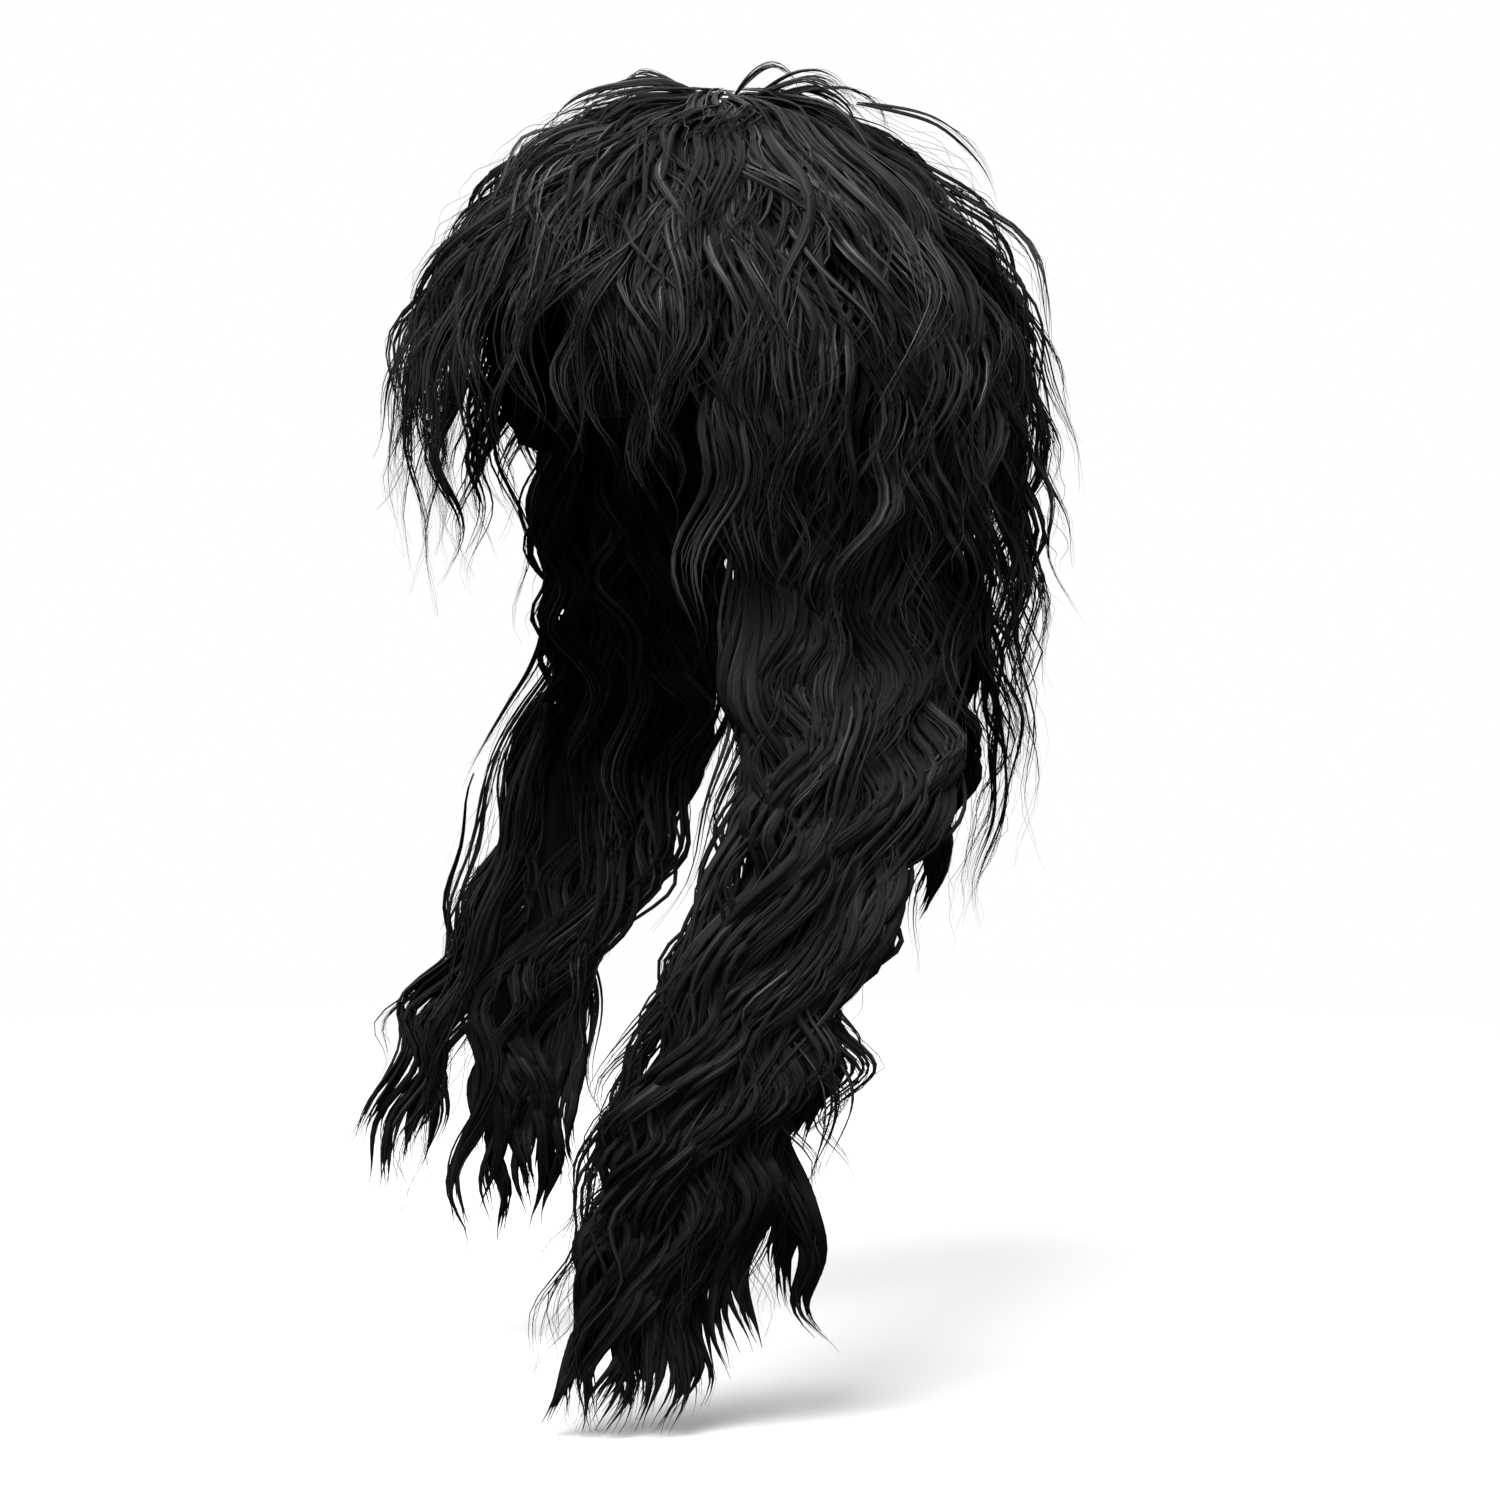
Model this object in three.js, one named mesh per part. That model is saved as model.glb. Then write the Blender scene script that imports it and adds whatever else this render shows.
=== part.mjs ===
// A long, wavy, layered wig in its worn form: a thin cap that carries a short crown layer, a fringe,
// a middle layer round the sides and back, and long locks that fall before both shoulders and behind.
// Millimetres, +Z up. The origin is the inside of the cap at its top, where the head bears.
// The face looks along -Y, and +X is the wearer's left. Angles are degrees from the face, to the left.
import * as THREE from "three";
import { LoftGeometry } from "three/addons/geometries/LoftGeometry.js";

// The head that the cap is sewn to fit: a half ellipsoid down to its widest level, straight below it.
const HEAD = { halfWidth: 78, halfDepth: 100, domeHeight: 116 };
const CAP_WALL = 1.5;
const GAP = 0.5;

// How far the hair stands off the cap at the top and at the sides of the crown layer.
const HAIR_BASE = CAP_WALL + GAP;
const HAIR_RISE = 17.5;
const HAIR_SPREAD = 38;

// One unit of drop is the way from the top to the widest level, and this far down for each unit past it.
const HANG = 100;

const HAIR = new THREE.MeshStandardMaterial({ color: 0x17171a, roughness: 0.42, metalness: 0 });
const NET = new THREE.MeshStandardMaterial({ color: 0x0d0d0f, roughness: 0.85, metalness: 0 });

const radians = THREE.MathUtils.degToRad;
const mix = THREE.MathUtils.lerp;
const ease = THREE.MathUtils.smoothstep;

// The value of a column at a place along a table, eased between its rows.
function along(rows, key, column, place) {
  const after = rows.findIndex((row) => row[key] >= place);
  if (after === 0) return rows[0][column];
  if (after < 0) return rows[rows.length - 1][column];
  const [low, high] = [rows[after - 1], rows[after]];
  return mix(low[column], high[column], ease(place, low[key], high[key]));
}

// A point round the head: drop is 0 at the top and 1 at the widest level, out and up are offsets in mm.
function headPoint(angle, drop, out, up, tuck = 0) {
  const polar = (Math.min(drop, 1) * Math.PI) / 2;
  const below = Math.max(drop - 1, 0);
  const ring = Math.sin(polar) * (1 - tuck * below * below);
  return new THREE.Vector3(
    (HEAD.halfWidth + out) * ring * Math.sin(radians(angle)),
    -(HEAD.halfDepth + out) * ring * Math.cos(radians(angle)),
    (HEAD.domeHeight + up) * Math.cos(polar) - HEAD.domeHeight - below * HANG,
  );
}

// The same point by lift: 0 on the cap and 1 on the outside of the crown layer.
function hairPoint(angle, drop, lift) {
  return headPoint(angle, drop, HAIR_BASE + lift * HAIR_SPREAD, HAIR_BASE + lift * HAIR_RISE);
}

// All layers sway together, so that neighbours that wave stay clear of each other.
const SWAY = { degrees: 3.2, period: 0.42 };
function sway(drop) {
  return SWAY.degrees * ease(drop, 0.2, 0.8) * Math.sin((2 * Math.PI * drop) / SWAY.period);
}

// A closed ring of points on a rounded box, from -1 to 1 both ways.
function roundedRing(count, squareness) {
  const bend = (value) => Math.sign(value) * Math.abs(value) ** squareness;
  return Array.from({ length: count }, (_, k) => {
    const turn = (2 * Math.PI * (k + 0.5)) / count;
    return { across: bend(Math.cos(turn)), through: bend(Math.sin(turn)) };
  });
}

function mesh(name, sections, material, options = {}) {
  const made = new THREE.Mesh(new LoftGeometry(sections, options), material);
  made.name = name;
  return made;
}

// Turns a closed profile round the head: profileAt(angle) gives its points from the top, out and back.
function shellMesh(name, profileAt, steps, material) {
  const sections = Array.from({ length: steps + 1 }, (_, k) => profileAt((360 * (k % steps)) / steps));
  return mesh(name, sections, material);
}

// The cap: its rim is high on the forehead, comes down before the ear and is lowest at the nape.
const CAP = { steps: 32, rows: 7, tuck: 0.35 };
const CAP_RIM = [
  { angle: 0, drop: 0.72 },
  { angle: 40, drop: 0.84 },
  { angle: 70, drop: 1.08 },
  { angle: 98, drop: 1.0 },
  { angle: 130, drop: 1.22 },
  { angle: 180, drop: 1.42 },
];

const fromFace = (angle) => Math.abs(((angle + 180) % 360) - 180);

function capProfile(angle) {
  const rim = along(CAP_RIM, "angle", "drop", fromFace(angle));
  const points = [];
  for (let row = 0; row <= CAP.rows; row++)
    points.push(headPoint(angle, (rim * row) / CAP.rows, CAP_WALL, CAP_WALL, CAP.tuck));
  for (let row = CAP.rows; row >= 0; row--)
    points.push(headPoint(angle, (rim * row) / CAP.rows, 0, 0, CAP.tuck));
  return points;
}

// The crown layer: one thick shell of hair from the top to a hem of points, with a ridge to each point.
const CROWN = {
  steps: 60,
  lobes: 15,
  rows: 8,
  insideRows: 6,
  tip: 0.15,
  relief: 0.13,
  hemLift: 0.66,
  turnIn: 0.88,
};
const CROWN_INSIDE = { top: 0.065, side: 0.57, from: 0.22, to: 0.6 };
const CROWN_HEM = [
  { angle: 0, drop: 0.66 },
  { angle: 45, drop: 0.72 },
  { angle: 80, drop: 1.0 },
  { angle: 180, drop: 1.08 },
];

function crownProfile(angle) {
  const ridge = 0.5 + 0.5 * Math.cos(radians(angle * CROWN.lobes));
  const hem = along(CROWN_HEM, "angle", "drop", fromFace(angle)) + CROWN.tip * ridge;
  const points = [];
  for (let row = 0; row <= CROWN.rows; row++) {
    const part = row / CROWN.rows;
    const outside = 1 - CROWN.relief * (1 - ridge) * ease(part, 0, 0.5);
    const lift = mix(outside, CROWN.hemLift, ease(part, CROWN.turnIn, 1));
    points.push(hairPoint(angle + sway(part * hem), part * hem, lift));
  }
  for (let row = CROWN.insideRows; row >= 0; row--) {
    const drop = (hem * row) / CROWN.insideRows;
    const lift = mix(CROWN_INSIDE.top, CROWN_INSIDE.side, ease(drop, CROWN_INSIDE.from, CROWN_INSIDE.to));
    points.push(hairPoint(angle + sway(drop), drop, lift));
  }
  return points;
}

// Short locks round the head. Each keeps to its own slice, and leans within it towards its point.
const SHORT = { rows: 10, around: 6, squareness: 0.6, pointed: 0.06, slices: 0.97 };
const FRINGE = {
  root: 0.4,
  from: -54,
  step: 15.4,
  inside: [
    { drop: 0.4, low: -0.008, high: 0.13 },
    { drop: 0.7, low: 0.14, high: 0.5 },
    { drop: 0.86, low: 0.34, high: 0.52 },
    { drop: 1.0, low: 0.5, high: 0.96 },
    { drop: 1.5, low: 0.6, high: 0.98 },
  ],
  locks: [
    { tip: 1.3, lean: -0.5 },
    { tip: 1.36, lean: 0.4 },
    { tip: 1.22, lean: -0.3 },
    { tip: 1.32, lean: 0.2 },
    { tip: 1.4, lean: -0.5 },
    { tip: 1.3, lean: 0.4 },
    { tip: 1.42, lean: 0.3 },
  ],
};
const MIDDLE = {
  root: 0.56,
  from: 54,
  step: 25.2,
  inside: [
    { drop: 0.56, low: -0.012, high: 0.28 },
    { drop: 0.8, low: 0.28, high: 0.48 },
    { drop: 1.28, low: 0.3, high: 0.5 },
    { drop: 1.44, low: 0.32, high: 0.92 },
    { drop: 2.0, low: 0.5, high: 0.98 },
  ],
  locks: [
    { tip: 1.78, lean: -0.4 },
    { tip: 1.7, lean: 0.5 },
    { tip: 1.86, lean: -0.3 },
    { tip: 1.74, lean: 0.4 },
    { tip: 1.9, lean: -0.5 },
    { tip: 1.82, lean: 0.3 },
    { tip: 1.92, lean: -0.4 },
    { tip: 1.74, lean: 0.5 },
    { tip: 1.66, lean: -0.3 },
    { tip: 1.46, lean: 0.4 },
  ],
};

function shortLock(name, layer, index) {
  const { tip, lean } = layer.locks[index];
  const half = (layer.step * SHORT.slices) / 2;
  const middle = layer.from + (index + 0.5) * layer.step;
  const ring = roundedRing(SHORT.around, SHORT.squareness);
  const sections = [];
  for (let row = 0; row <= SHORT.rows; row++) {
    const drop = mix(layer.root, tip, row / SHORT.rows);
    const full = mix(1, SHORT.pointed, (row / SHORT.rows) ** 3);
    const low = along(layer.inside, "drop", "low", drop);
    const high = along(layer.inside, "drop", "high", drop);
    const centre = middle + lean * half * (1 - full) + sway(drop);
    const at = ({ across, through }) =>
      hairPoint(centre + half * full * across, drop, mix(low, high, 0.5 + 0.5 * full * through));
    sections.push(ring.map(at));
  }
  return mesh(name, sections, HAIR, { capStart: true, capEnd: true });
}

// Long locks. Each fall of hair lies on the head at first, side by side from angle to angle. Lower down
// it is a band through three points, edge, middle and other edge, at each height, and thick through.
const LONG = { rows: 28, around: 6, squareness: 0.7, pointed: 0.05, taper: 5, slices: 0.97, root: -80 };
const ON_HEAD = { out: 6.4, thick: 8.9, until: -200, hangsFrom: -236 };
const WAVE = { across: 6, through: 3, period: 66, growth: 130, phase: 1.3 };
const LEFT = {
  angles: [44, 131],
  bands: [
    { z: -490, ax: 36, ay: -134, mx: 64, my: -112, bx: 86, by: -76, thick: 26 },
    { z: -440, ax: 38, ay: -126, mx: 70, my: -100, bx: 92, by: -62, thick: 36 },
    { z: -390, ax: 42, ay: -117, mx: 76, my: -92, bx: 94, by: -58, thick: 40 },
    { z: -340, ax: 51, ay: -104, mx: 86, my: -74, bx: 99, by: -36, thick: 42 },
    { z: -290, ax: 65, ay: -86, mx: 96, my: -46, bx: 98, by: -6, thick: 40 },
    { z: -236, ax: 66, ay: -76, mx: 100, my: -14, bx: 82, by: 62, thick: 30 },
  ],
  tips: [
    { z: -470, lean: -0.9 },
    { z: -490, lean: -0.6 },
    { z: -486, lean: 0.2 },
    { z: -458, lean: 0.5 },
    { z: -442, lean: 1 },
  ],
};
const RIGHT = {
  angles: [-54, -131],
  bands: [
    { z: -440, ax: -90, ay: -104, mx: -86, my: -64, bx: -58, by: -34, thick: 30 },
    { z: -380, ax: -92, ay: -106, mx: -88, my: -58, bx: -60, by: -20, thick: 38 },
    { z: -340, ax: -82, ay: -90, mx: -88, my: -46, bx: -66, by: -4, thick: 42 },
    { z: -290, ax: -66, ay: -71, mx: -94, my: -32, bx: -78, by: 16, thick: 40 },
    { z: -236, ax: -58, ay: -50, mx: -98, my: -8, bx: -82, by: 60, thick: 30 },
  ],
  tips: [
    { z: -376, lean: -1 },
    { z: -428, lean: -0.8 },
    { z: -432, lean: -0.2 },
    { z: -414, lean: 0.3 },
    { z: -396, lean: 0.6 },
  ],
};
const BACK = {
  angles: [133, 227],
  bands: [
    { z: -350, ax: 40, ay: 77, mx: 0, my: 94, bx: -40, by: 77, thick: 20 },
    { z: -310, ax: 52, ay: 76, mx: 0, my: 98, bx: -52, by: 76, thick: 26 },
    { z: -280, ax: 66, ay: 74, mx: 0, my: 103, bx: -66, by: 74, thick: 32 },
    { z: -236, ax: 74, ay: 76, mx: 0, my: 112, bx: -74, by: 76, thick: 28 },
  ],
  tips: [
    { z: -318, lean: -0.5 },
    { z: -346, lean: 0.3 },
    { z: -338, lean: -0.4 },
    { z: -312, lean: 0.6 },
  ],
};

// Where a lock lies while it still follows the head: share runs from the first angle to the last.
function onHead(fall, share, z, through) {
  const out = ON_HEAD.out + (through * ON_HEAD.thick) / 2;
  const above = Math.max(z + HEAD.domeHeight, 0) / (HEAD.domeHeight + out);
  const ring = Math.sqrt(1 - above * above);
  const angle = radians(mix(fall.angles[0], fall.angles[1], share));
  return new THREE.Vector3(
    (HEAD.halfWidth + out) * ring * Math.sin(angle),
    -(HEAD.halfDepth + out) * ring * Math.cos(angle),
    z,
  );
}

// Where it lies below that: on the band's curve through its three points, moved out along its normal.
function inBand(fall, share, z, through) {
  const column = (name) => along(fall.bands, "z", name, z);
  const corner = (name) => new THREE.Vector2(column(`${name}x`), column(`${name}y`));
  const [edge, middle, end] = ["a", "m", "b"].map(corner);
  const weights = [2 * (share - 0.5) * (share - 1), 4 * share * (1 - share), 2 * share * (share - 0.5)];
  const slopes = [4 * share - 3, 4 - 8 * share, 4 * share - 1];
  const blend = ([first, second, third]) =>
    new THREE.Vector2()
      .addScaledVector(edge, first)
      .addScaledVector(middle, second)
      .addScaledVector(end, third);
  const way = blend(slopes).normalize();
  const hand = Math.sign(fall.angles[1] - fall.angles[0]);
  const outward = new THREE.Vector2(hand * way.y, -hand * way.x);
  const grown = ease(ON_HEAD.until - z, 0, WAVE.growth);
  const turn = (2 * Math.PI * z) / WAVE.period + WAVE.phase * share;
  const place = blend(weights)
    .addScaledVector(way, WAVE.across * grown * Math.sin(turn))
    .addScaledVector(outward, (through * column("thick")) / 2 + WAVE.through * grown * Math.cos(turn));
  return new THREE.Vector3(place.x, place.y, z);
}

function longLock(name, fall, index) {
  const { z: tip, lean } = fall.tips[index];
  const half = LONG.slices / fall.tips.length / 2;
  const middle = (index + 0.5) / fall.tips.length;
  const ring = roundedRing(LONG.around, LONG.squareness);
  if (fall.angles[1] < fall.angles[0]) ring.reverse();
  const sections = [];
  for (let row = 0; row <= LONG.rows; row++) {
    const z = mix(LONG.root, tip, row / LONG.rows);
    const full = mix(1, LONG.pointed, (row / LONG.rows) ** LONG.taper);
    const centre = middle + lean * half * (1 - full);
    const hangs = ease(-z, -ON_HEAD.until, -ON_HEAD.hangsFrom);
    const at = ({ across, through }) => {
      const share = centre + half * full * across;
      const upper = onHead(fall, share, z, full * through);
      return upper.lerp(inBand(fall, share, z, full * through), hangs);
    };
    sections.push(ring.map(at));
  }
  return mesh(name, sections, HAIR, { capStart: true, capEnd: true });
}

const wig = new THREE.Group();
wig.add(shellMesh("wig_cap", capProfile, CAP.steps, NET));
wig.add(shellMesh("crown_layer", crownProfile, CROWN.steps, HAIR));
FRINGE.locks.forEach((_, k) => wig.add(shortLock(`fringe_lock_${k + 1}`, FRINGE, k)));
MIDDLE.locks.forEach((_, k) => wig.add(shortLock(`middle_lock_${k + 1}`, MIDDLE, k)));
LEFT.tips.forEach((_, k) => wig.add(longLock(`left_lock_${k + 1}`, LEFT, k)));
RIGHT.tips.forEach((_, k) => wig.add(longLock(`right_lock_${k + 1}`, RIGHT, k)));
BACK.tips.forEach((_, k) => wig.add(longLock(`back_lock_${k + 1}`, BACK, k)));

export default wig;
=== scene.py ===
"""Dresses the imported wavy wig: a net cap, and hair made strand by strand over the lock solids.

Metres, +Z up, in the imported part's own frame: the face looks along -Y and +X is the wearer's left.
The origin is the inside of the cap at its top. Angles are degrees from the face, towards +X.
A place in the hair is an angle, a way down from the top along the head, and a lift, which is 0 on
the cap and 1 on the outside of the crown layer.
"""

import logging
import math
from abc import ABC, abstractmethod
from dataclasses import dataclass
from enum import Enum
from functools import partial
from typing import Sequence

import bpy
import numpy as np
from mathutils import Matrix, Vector
from numpy.typing import NDArray


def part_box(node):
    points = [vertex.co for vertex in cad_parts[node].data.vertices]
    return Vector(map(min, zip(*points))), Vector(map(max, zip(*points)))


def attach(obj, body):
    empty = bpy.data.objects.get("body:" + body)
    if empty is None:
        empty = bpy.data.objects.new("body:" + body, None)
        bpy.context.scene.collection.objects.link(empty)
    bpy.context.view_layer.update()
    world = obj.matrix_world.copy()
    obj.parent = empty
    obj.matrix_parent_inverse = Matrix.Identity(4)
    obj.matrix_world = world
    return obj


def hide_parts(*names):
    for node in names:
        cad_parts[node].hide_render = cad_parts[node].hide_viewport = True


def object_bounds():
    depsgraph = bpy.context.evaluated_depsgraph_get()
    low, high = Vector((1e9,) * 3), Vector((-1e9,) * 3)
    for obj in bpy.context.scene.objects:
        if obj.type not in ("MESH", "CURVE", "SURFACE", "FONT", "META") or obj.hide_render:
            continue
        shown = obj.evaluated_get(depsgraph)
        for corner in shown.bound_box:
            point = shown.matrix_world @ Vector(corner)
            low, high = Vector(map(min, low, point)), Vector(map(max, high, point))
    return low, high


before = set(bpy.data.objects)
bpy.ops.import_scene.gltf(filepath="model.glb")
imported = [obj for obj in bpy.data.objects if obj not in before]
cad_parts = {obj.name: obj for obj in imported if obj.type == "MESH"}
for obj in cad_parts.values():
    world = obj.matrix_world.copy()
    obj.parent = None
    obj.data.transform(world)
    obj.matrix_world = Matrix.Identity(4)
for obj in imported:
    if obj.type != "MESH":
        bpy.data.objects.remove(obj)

Array = NDArray[np.float64]
Colour = tuple[float, float, float]
Span = tuple[float, float]
Rng = np.random.Generator
Socket = bpy.types.NodeSocket
Material = bpy.types.Material
Object = bpy.types.Object

CAD_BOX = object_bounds()
BODY = "root"
HAIR_SLOT = "hair"
CAP_SLOT = "cap_net"
UV_MAP = "OFBake"
MAP_SIDE = 0.05
MAP_END = 0.04
FAN_END = 0.03
CELLS_TALL = 24.0
DISC_CENTRES = ((0.26, 0.5), (0.74, 0.5))
DISC_LEAST = 0.02
DISC_REACH = 0.2
DISC_RIM = 0.08
GRAIN_LENGTH = 0.3
GRAIN_WIDTH = 0.0036
GRAIN_SPREAD = 60.0
TURN = 2.0 * np.pi
GOLDEN_SHARE = 0.618034
LOG = logging.getLogger("wig")


def ease(value: Array | float, low: float, high: float) -> Array:
    """Smooth step: 0 below low, 1 above high, and 3x^2 - 2x^3 of the share between them.

    Args:
        value: Numbers to place between the two ends.
        low: Where the step begins.
        high: Where the step ends.

    Returns:
        The eased share for each number.
    """
    share = np.clip((np.asarray(value, float) - low) / (high - low), 0.0, 1.0)
    return share * share * (3.0 - 2.0 * share)


def unit(vectors: Array) -> Array:
    """Each vector divided by its own length."""
    return vectors / np.maximum(np.linalg.norm(vectors, axis=-1, keepdims=True), 1e-12)


class HairPart(Enum):
    """The parts of the hair, by the beginning of the names of the CAD nodes that each stands for."""

    CROWN = "crown_layer"
    FRINGE = "fringe_lock"
    MIDDLE = "middle_lock"
    LEFT = "left_lock"
    RIGHT = "right_lock"
    BACK = "back_lock"

    def nodes(self) -> list[str]:
        """The names of this part's CAD nodes."""
        return sorted(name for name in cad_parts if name.startswith(self.value))


class NodeTree:
    """A small helper that adds shader nodes to one material and links them."""

    def __init__(self, name: str) -> None:
        """Makes an empty material with a Principled shader and its output.

        Args:
            name: The material's name.
        """
        self.material = bpy.data.materials.new(name)
        self.material.use_nodes = True
        self.tree = self.material.node_tree
        self.shader = self.tree.nodes["Principled BSDF"]

    def add(self, kind: str, **settings: object) -> bpy.types.Node:
        """Adds a node and sets its properties.

        Args:
            kind: The node's Blender type.
            **settings: Properties of the node, by name.

        Returns:
            The new node.
        """
        node = self.tree.nodes.new(kind)
        for key, value in settings.items():
            setattr(node, key, value)
        return node

    def link(self, source: Socket, target: Socket) -> None:
        """Links one socket to another."""
        self.tree.links.new(source, target)

    def noise(self, scale: float, detail: float, coords: Socket) -> Socket:
        """Adds a noise texture.

        Args:
            scale: Noise cells in a unit of the coordinates.
            detail: Octaves of finer noise.
            coords: The coordinates that it reads.

        Returns:
            The noise value, from 0 to 1.
        """
        node = self.add("ShaderNodeTexNoise")
        node.inputs["Scale"].default_value = scale
        node.inputs["Detail"].default_value = detail
        self.link(coords, node.inputs["Vector"])
        return node.outputs["Fac"]

    def remap(self, value: Socket, source: Span = (0.0, 1.0), target: Span = (0.0, 1.0)) -> Socket:
        """Maps one range to another in proportion, and holds it at the ends.

        Args:
            value: The value to map.
            source: What becomes the target's first number and its second.
            target: The results.

        Returns:
            The mapped value.
        """
        node = self.add("ShaderNodeMapRange")
        for socket, number in zip(("From Min", "From Max", "To Min", "To Max"), (*source, *target)):
            node.inputs[socket].default_value = number
        self.link(value, node.inputs["Value"])
        return node.outputs["Result"]

    def feed(self, socket: str, source: Socket) -> None:
        """Links a value to one of the shader's own sockets."""
        self.link(source, self.shader.inputs[socket])

    def hold(self, socket: str, value: float) -> None:
        """Sets one of the shader's own sockets to a number that is the same all over."""
        self.shader.inputs[socket].default_value = value

    def bump(self, height: Socket, depth: float) -> None:
        """Bumps the shader's normal by a height from 0 to 1, times a depth in metres.

        Args:
            height: The height.
            depth: How deep the bump is.
        """
        node = self.add("ShaderNodeBump")
        node.inputs["Distance"].default_value = depth
        self.link(height, node.inputs["Height"])
        self.feed("Normal", node.outputs["Normal"])

    def blend(self, value: Socket, first: Colour, second: Colour) -> Socket:
        """Mixes two colours by a value from 0 to 1.

        Args:
            value: The share of the second colour.
            first: Linear colour at 0.
            second: Linear colour at 1.

        Returns:
            The mixed colour.
        """
        node = self.add("ShaderNodeMix", data_type="RGBA")
        node.inputs["A"].default_value = (*first, 1.0)
        node.inputs["B"].default_value = (*second, 1.0)
        self.link(value, node.inputs["Factor"])
        return node.outputs["Result"]


@dataclass(frozen=True)
class HairFinish:
    """Black synthetic fibre: near black, streaked along the lock, with a soft gloss that varies too.
    The paler streaks are painted highlights.
    """

    name: str = "black_hair"
    deep: Colour = (0.0003, 0.0003, 0.0004)
    # The paler streak colour: a painted highlight on the black fibre.
    streak_and_highlight: Colour = (0.09, 0.0895, 0.0895)
    gloss: Span = (0.9, 0.2)
    across: float = 0.6
    specular: float = 0.34
    streaks: float = 2.2
    streak_edges: Span = (0.44, 0.64)
    between: float = 0.08
    depth: float = 0.0009

    def material(self) -> Material:
        """Streaks are noise on the grain attribute, which turns round a lock and runs slowly along it.

        Colour and gloss follow the streak times the lock's own lightness, which carries painted light
        and shade, and bump follows the streak. The paler streak colour is a painted highlight.
        The gloss is drawn out across the fibres, as it is on hair, by a tangent along the map's width.

        Returns:
            The material.
        """
        made = NodeTree(self.name)
        tone_and_painted_light = made.add("ShaderNodeAttribute", attribute_name="tone_and_painted_light").outputs["Fac"]
        grain = made.add("ShaderNodeAttribute", attribute_name="grain").outputs["Vector"]
        streak = made.remap(made.noise(self.streaks, 2.0, grain), source=self.streak_edges)
        product = made.add("ShaderNodeMath", operation="MULTIPLY")
        made.link(tone_and_painted_light, product.inputs[0])
        made.link(made.remap(streak, target=(self.between, 1.0)), product.inputs[1])
        shade = product.outputs["Value"]
        # Base colour: black fibre with paler streaks that are painted highlights, and locks lighter or
        # darker by the painted light and shade of their part.
        made.feed("Base Color", made.blend(shade, self.deep, self.streak_and_highlight))
        made.feed("Roughness", made.remap(shade, target=self.gloss))
        made.bump(streak, self.depth)
        made.hold("Anisotropic", self.across)
        made.hold("Specular IOR Level", self.specular)
        tangent = made.add("ShaderNodeTangent", direction_type="UV_MAP", uv_map=UV_MAP)
        made.feed("Tangent", tangent.outputs["Tangent"])
        return made.material


@dataclass(frozen=True)
class PackedFinish:
    """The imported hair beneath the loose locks: black and rough, with fine lines that run down it."""

    name: str = "packed_hair"
    deep: Colour = (0.0004, 0.0004, 0.0005)
    # The paler colour of the fine lines down the packed hair.
    streak_and_highlight: Colour = (0.004, 0.004, 0.004)
    gloss: Span = (0.6, 0.85)
    lines: tuple[float, float, float] = (60.0, 2.0, 1.0)
    depth: float = 0.0006
    specular: float = 0.06

    def material(self) -> Material:
        """Lines are noise drawn out along the piece's own map: fine across it and long down it.

        Returns:
            The material.
        """
        made = NodeTree(self.name)
        stretch = made.add("ShaderNodeMapping")
        stretch.inputs["Scale"].default_value = self.lines
        place = made.add("ShaderNodeUVMap", uv_map=UV_MAP).outputs["UV"]
        made.link(place, stretch.inputs["Vector"])
        lines = made.noise(1.0, 3.0, stretch.outputs["Vector"])
        made.feed("Base Color", made.blend(lines, self.deep, self.streak_and_highlight))
        made.feed("Roughness", made.remap(lines, target=self.gloss))
        made.bump(lines, self.depth)
        made.hold("Specular IOR Level", self.specular)
        return made.material


@dataclass(frozen=True)
class NetFinish:
    """Black stretch net: a fine knitted mesh, dull, with a little sheen on its threads."""

    name: str = "cap_net"
    hole: Colour = (0.002, 0.002, 0.0022)
    thread: Colour = (0.016, 0.016, 0.017)
    gloss: Span = (0.95, 0.7)
    thread_edges: Span = (0.2, 0.06)
    cell: float = 0.0024
    uneven: float = 0.35
    depth: float = 0.0005
    sheen: float = 0.15

    def material(self) -> Material:
        """Threads are the borders of small cells on Object coordinates, lifted by bump.

        Returns:
            The material.
        """
        made = NodeTree(self.name)
        cells = made.add("ShaderNodeTexVoronoi", feature="DISTANCE_TO_EDGE")
        cells.inputs["Scale"].default_value = 1.0 / self.cell
        cells.inputs["Randomness"].default_value = self.uneven
        made.link(made.add("ShaderNodeTexCoord").outputs["Object"], cells.inputs["Vector"])
        thread = made.remap(cells.outputs["Distance"], source=self.thread_edges)
        made.feed("Base Color", made.blend(thread, self.hole, self.thread))
        made.feed("Roughness", made.remap(thread, target=self.gloss))
        made.bump(thread, self.depth)
        made.hold("Sheen Weight", self.sheen)
        return made.material


@dataclass(frozen=True)
class FloorFinish:
    """A pale, plain floor with the faintest mottle, which fades out into the surround."""

    reach: float
    name: str = "pale_floor"
    light: Colour = (0.86, 0.86, 0.86)
    dark: Colour = (0.83, 0.83, 0.835)
    gloss: Span = (0.75, 0.9)
    mottle: float = 3.0
    fade_from: float = 0.4

    def material(self) -> Material:
        """Colour and roughness follow one broad noise, and alpha falls with the way from the middle.

        Returns:
            The material.
        """
        made = NodeTree(self.name)
        coords = made.add("ShaderNodeTexCoord").outputs["Object"]
        mottle = made.noise(self.mottle, 4.0, coords)
        made.feed("Base Color", made.blend(mottle, self.light, self.dark))
        made.feed("Roughness", made.remap(mottle, target=self.gloss))
        away = made.add("ShaderNodeVectorMath", operation="LENGTH")
        made.link(coords, away.inputs[0])
        fade = (self.reach, self.fade_from * self.reach)
        made.feed("Alpha", made.remap(away.outputs["Value"], source=fade))
        return made.material


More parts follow.
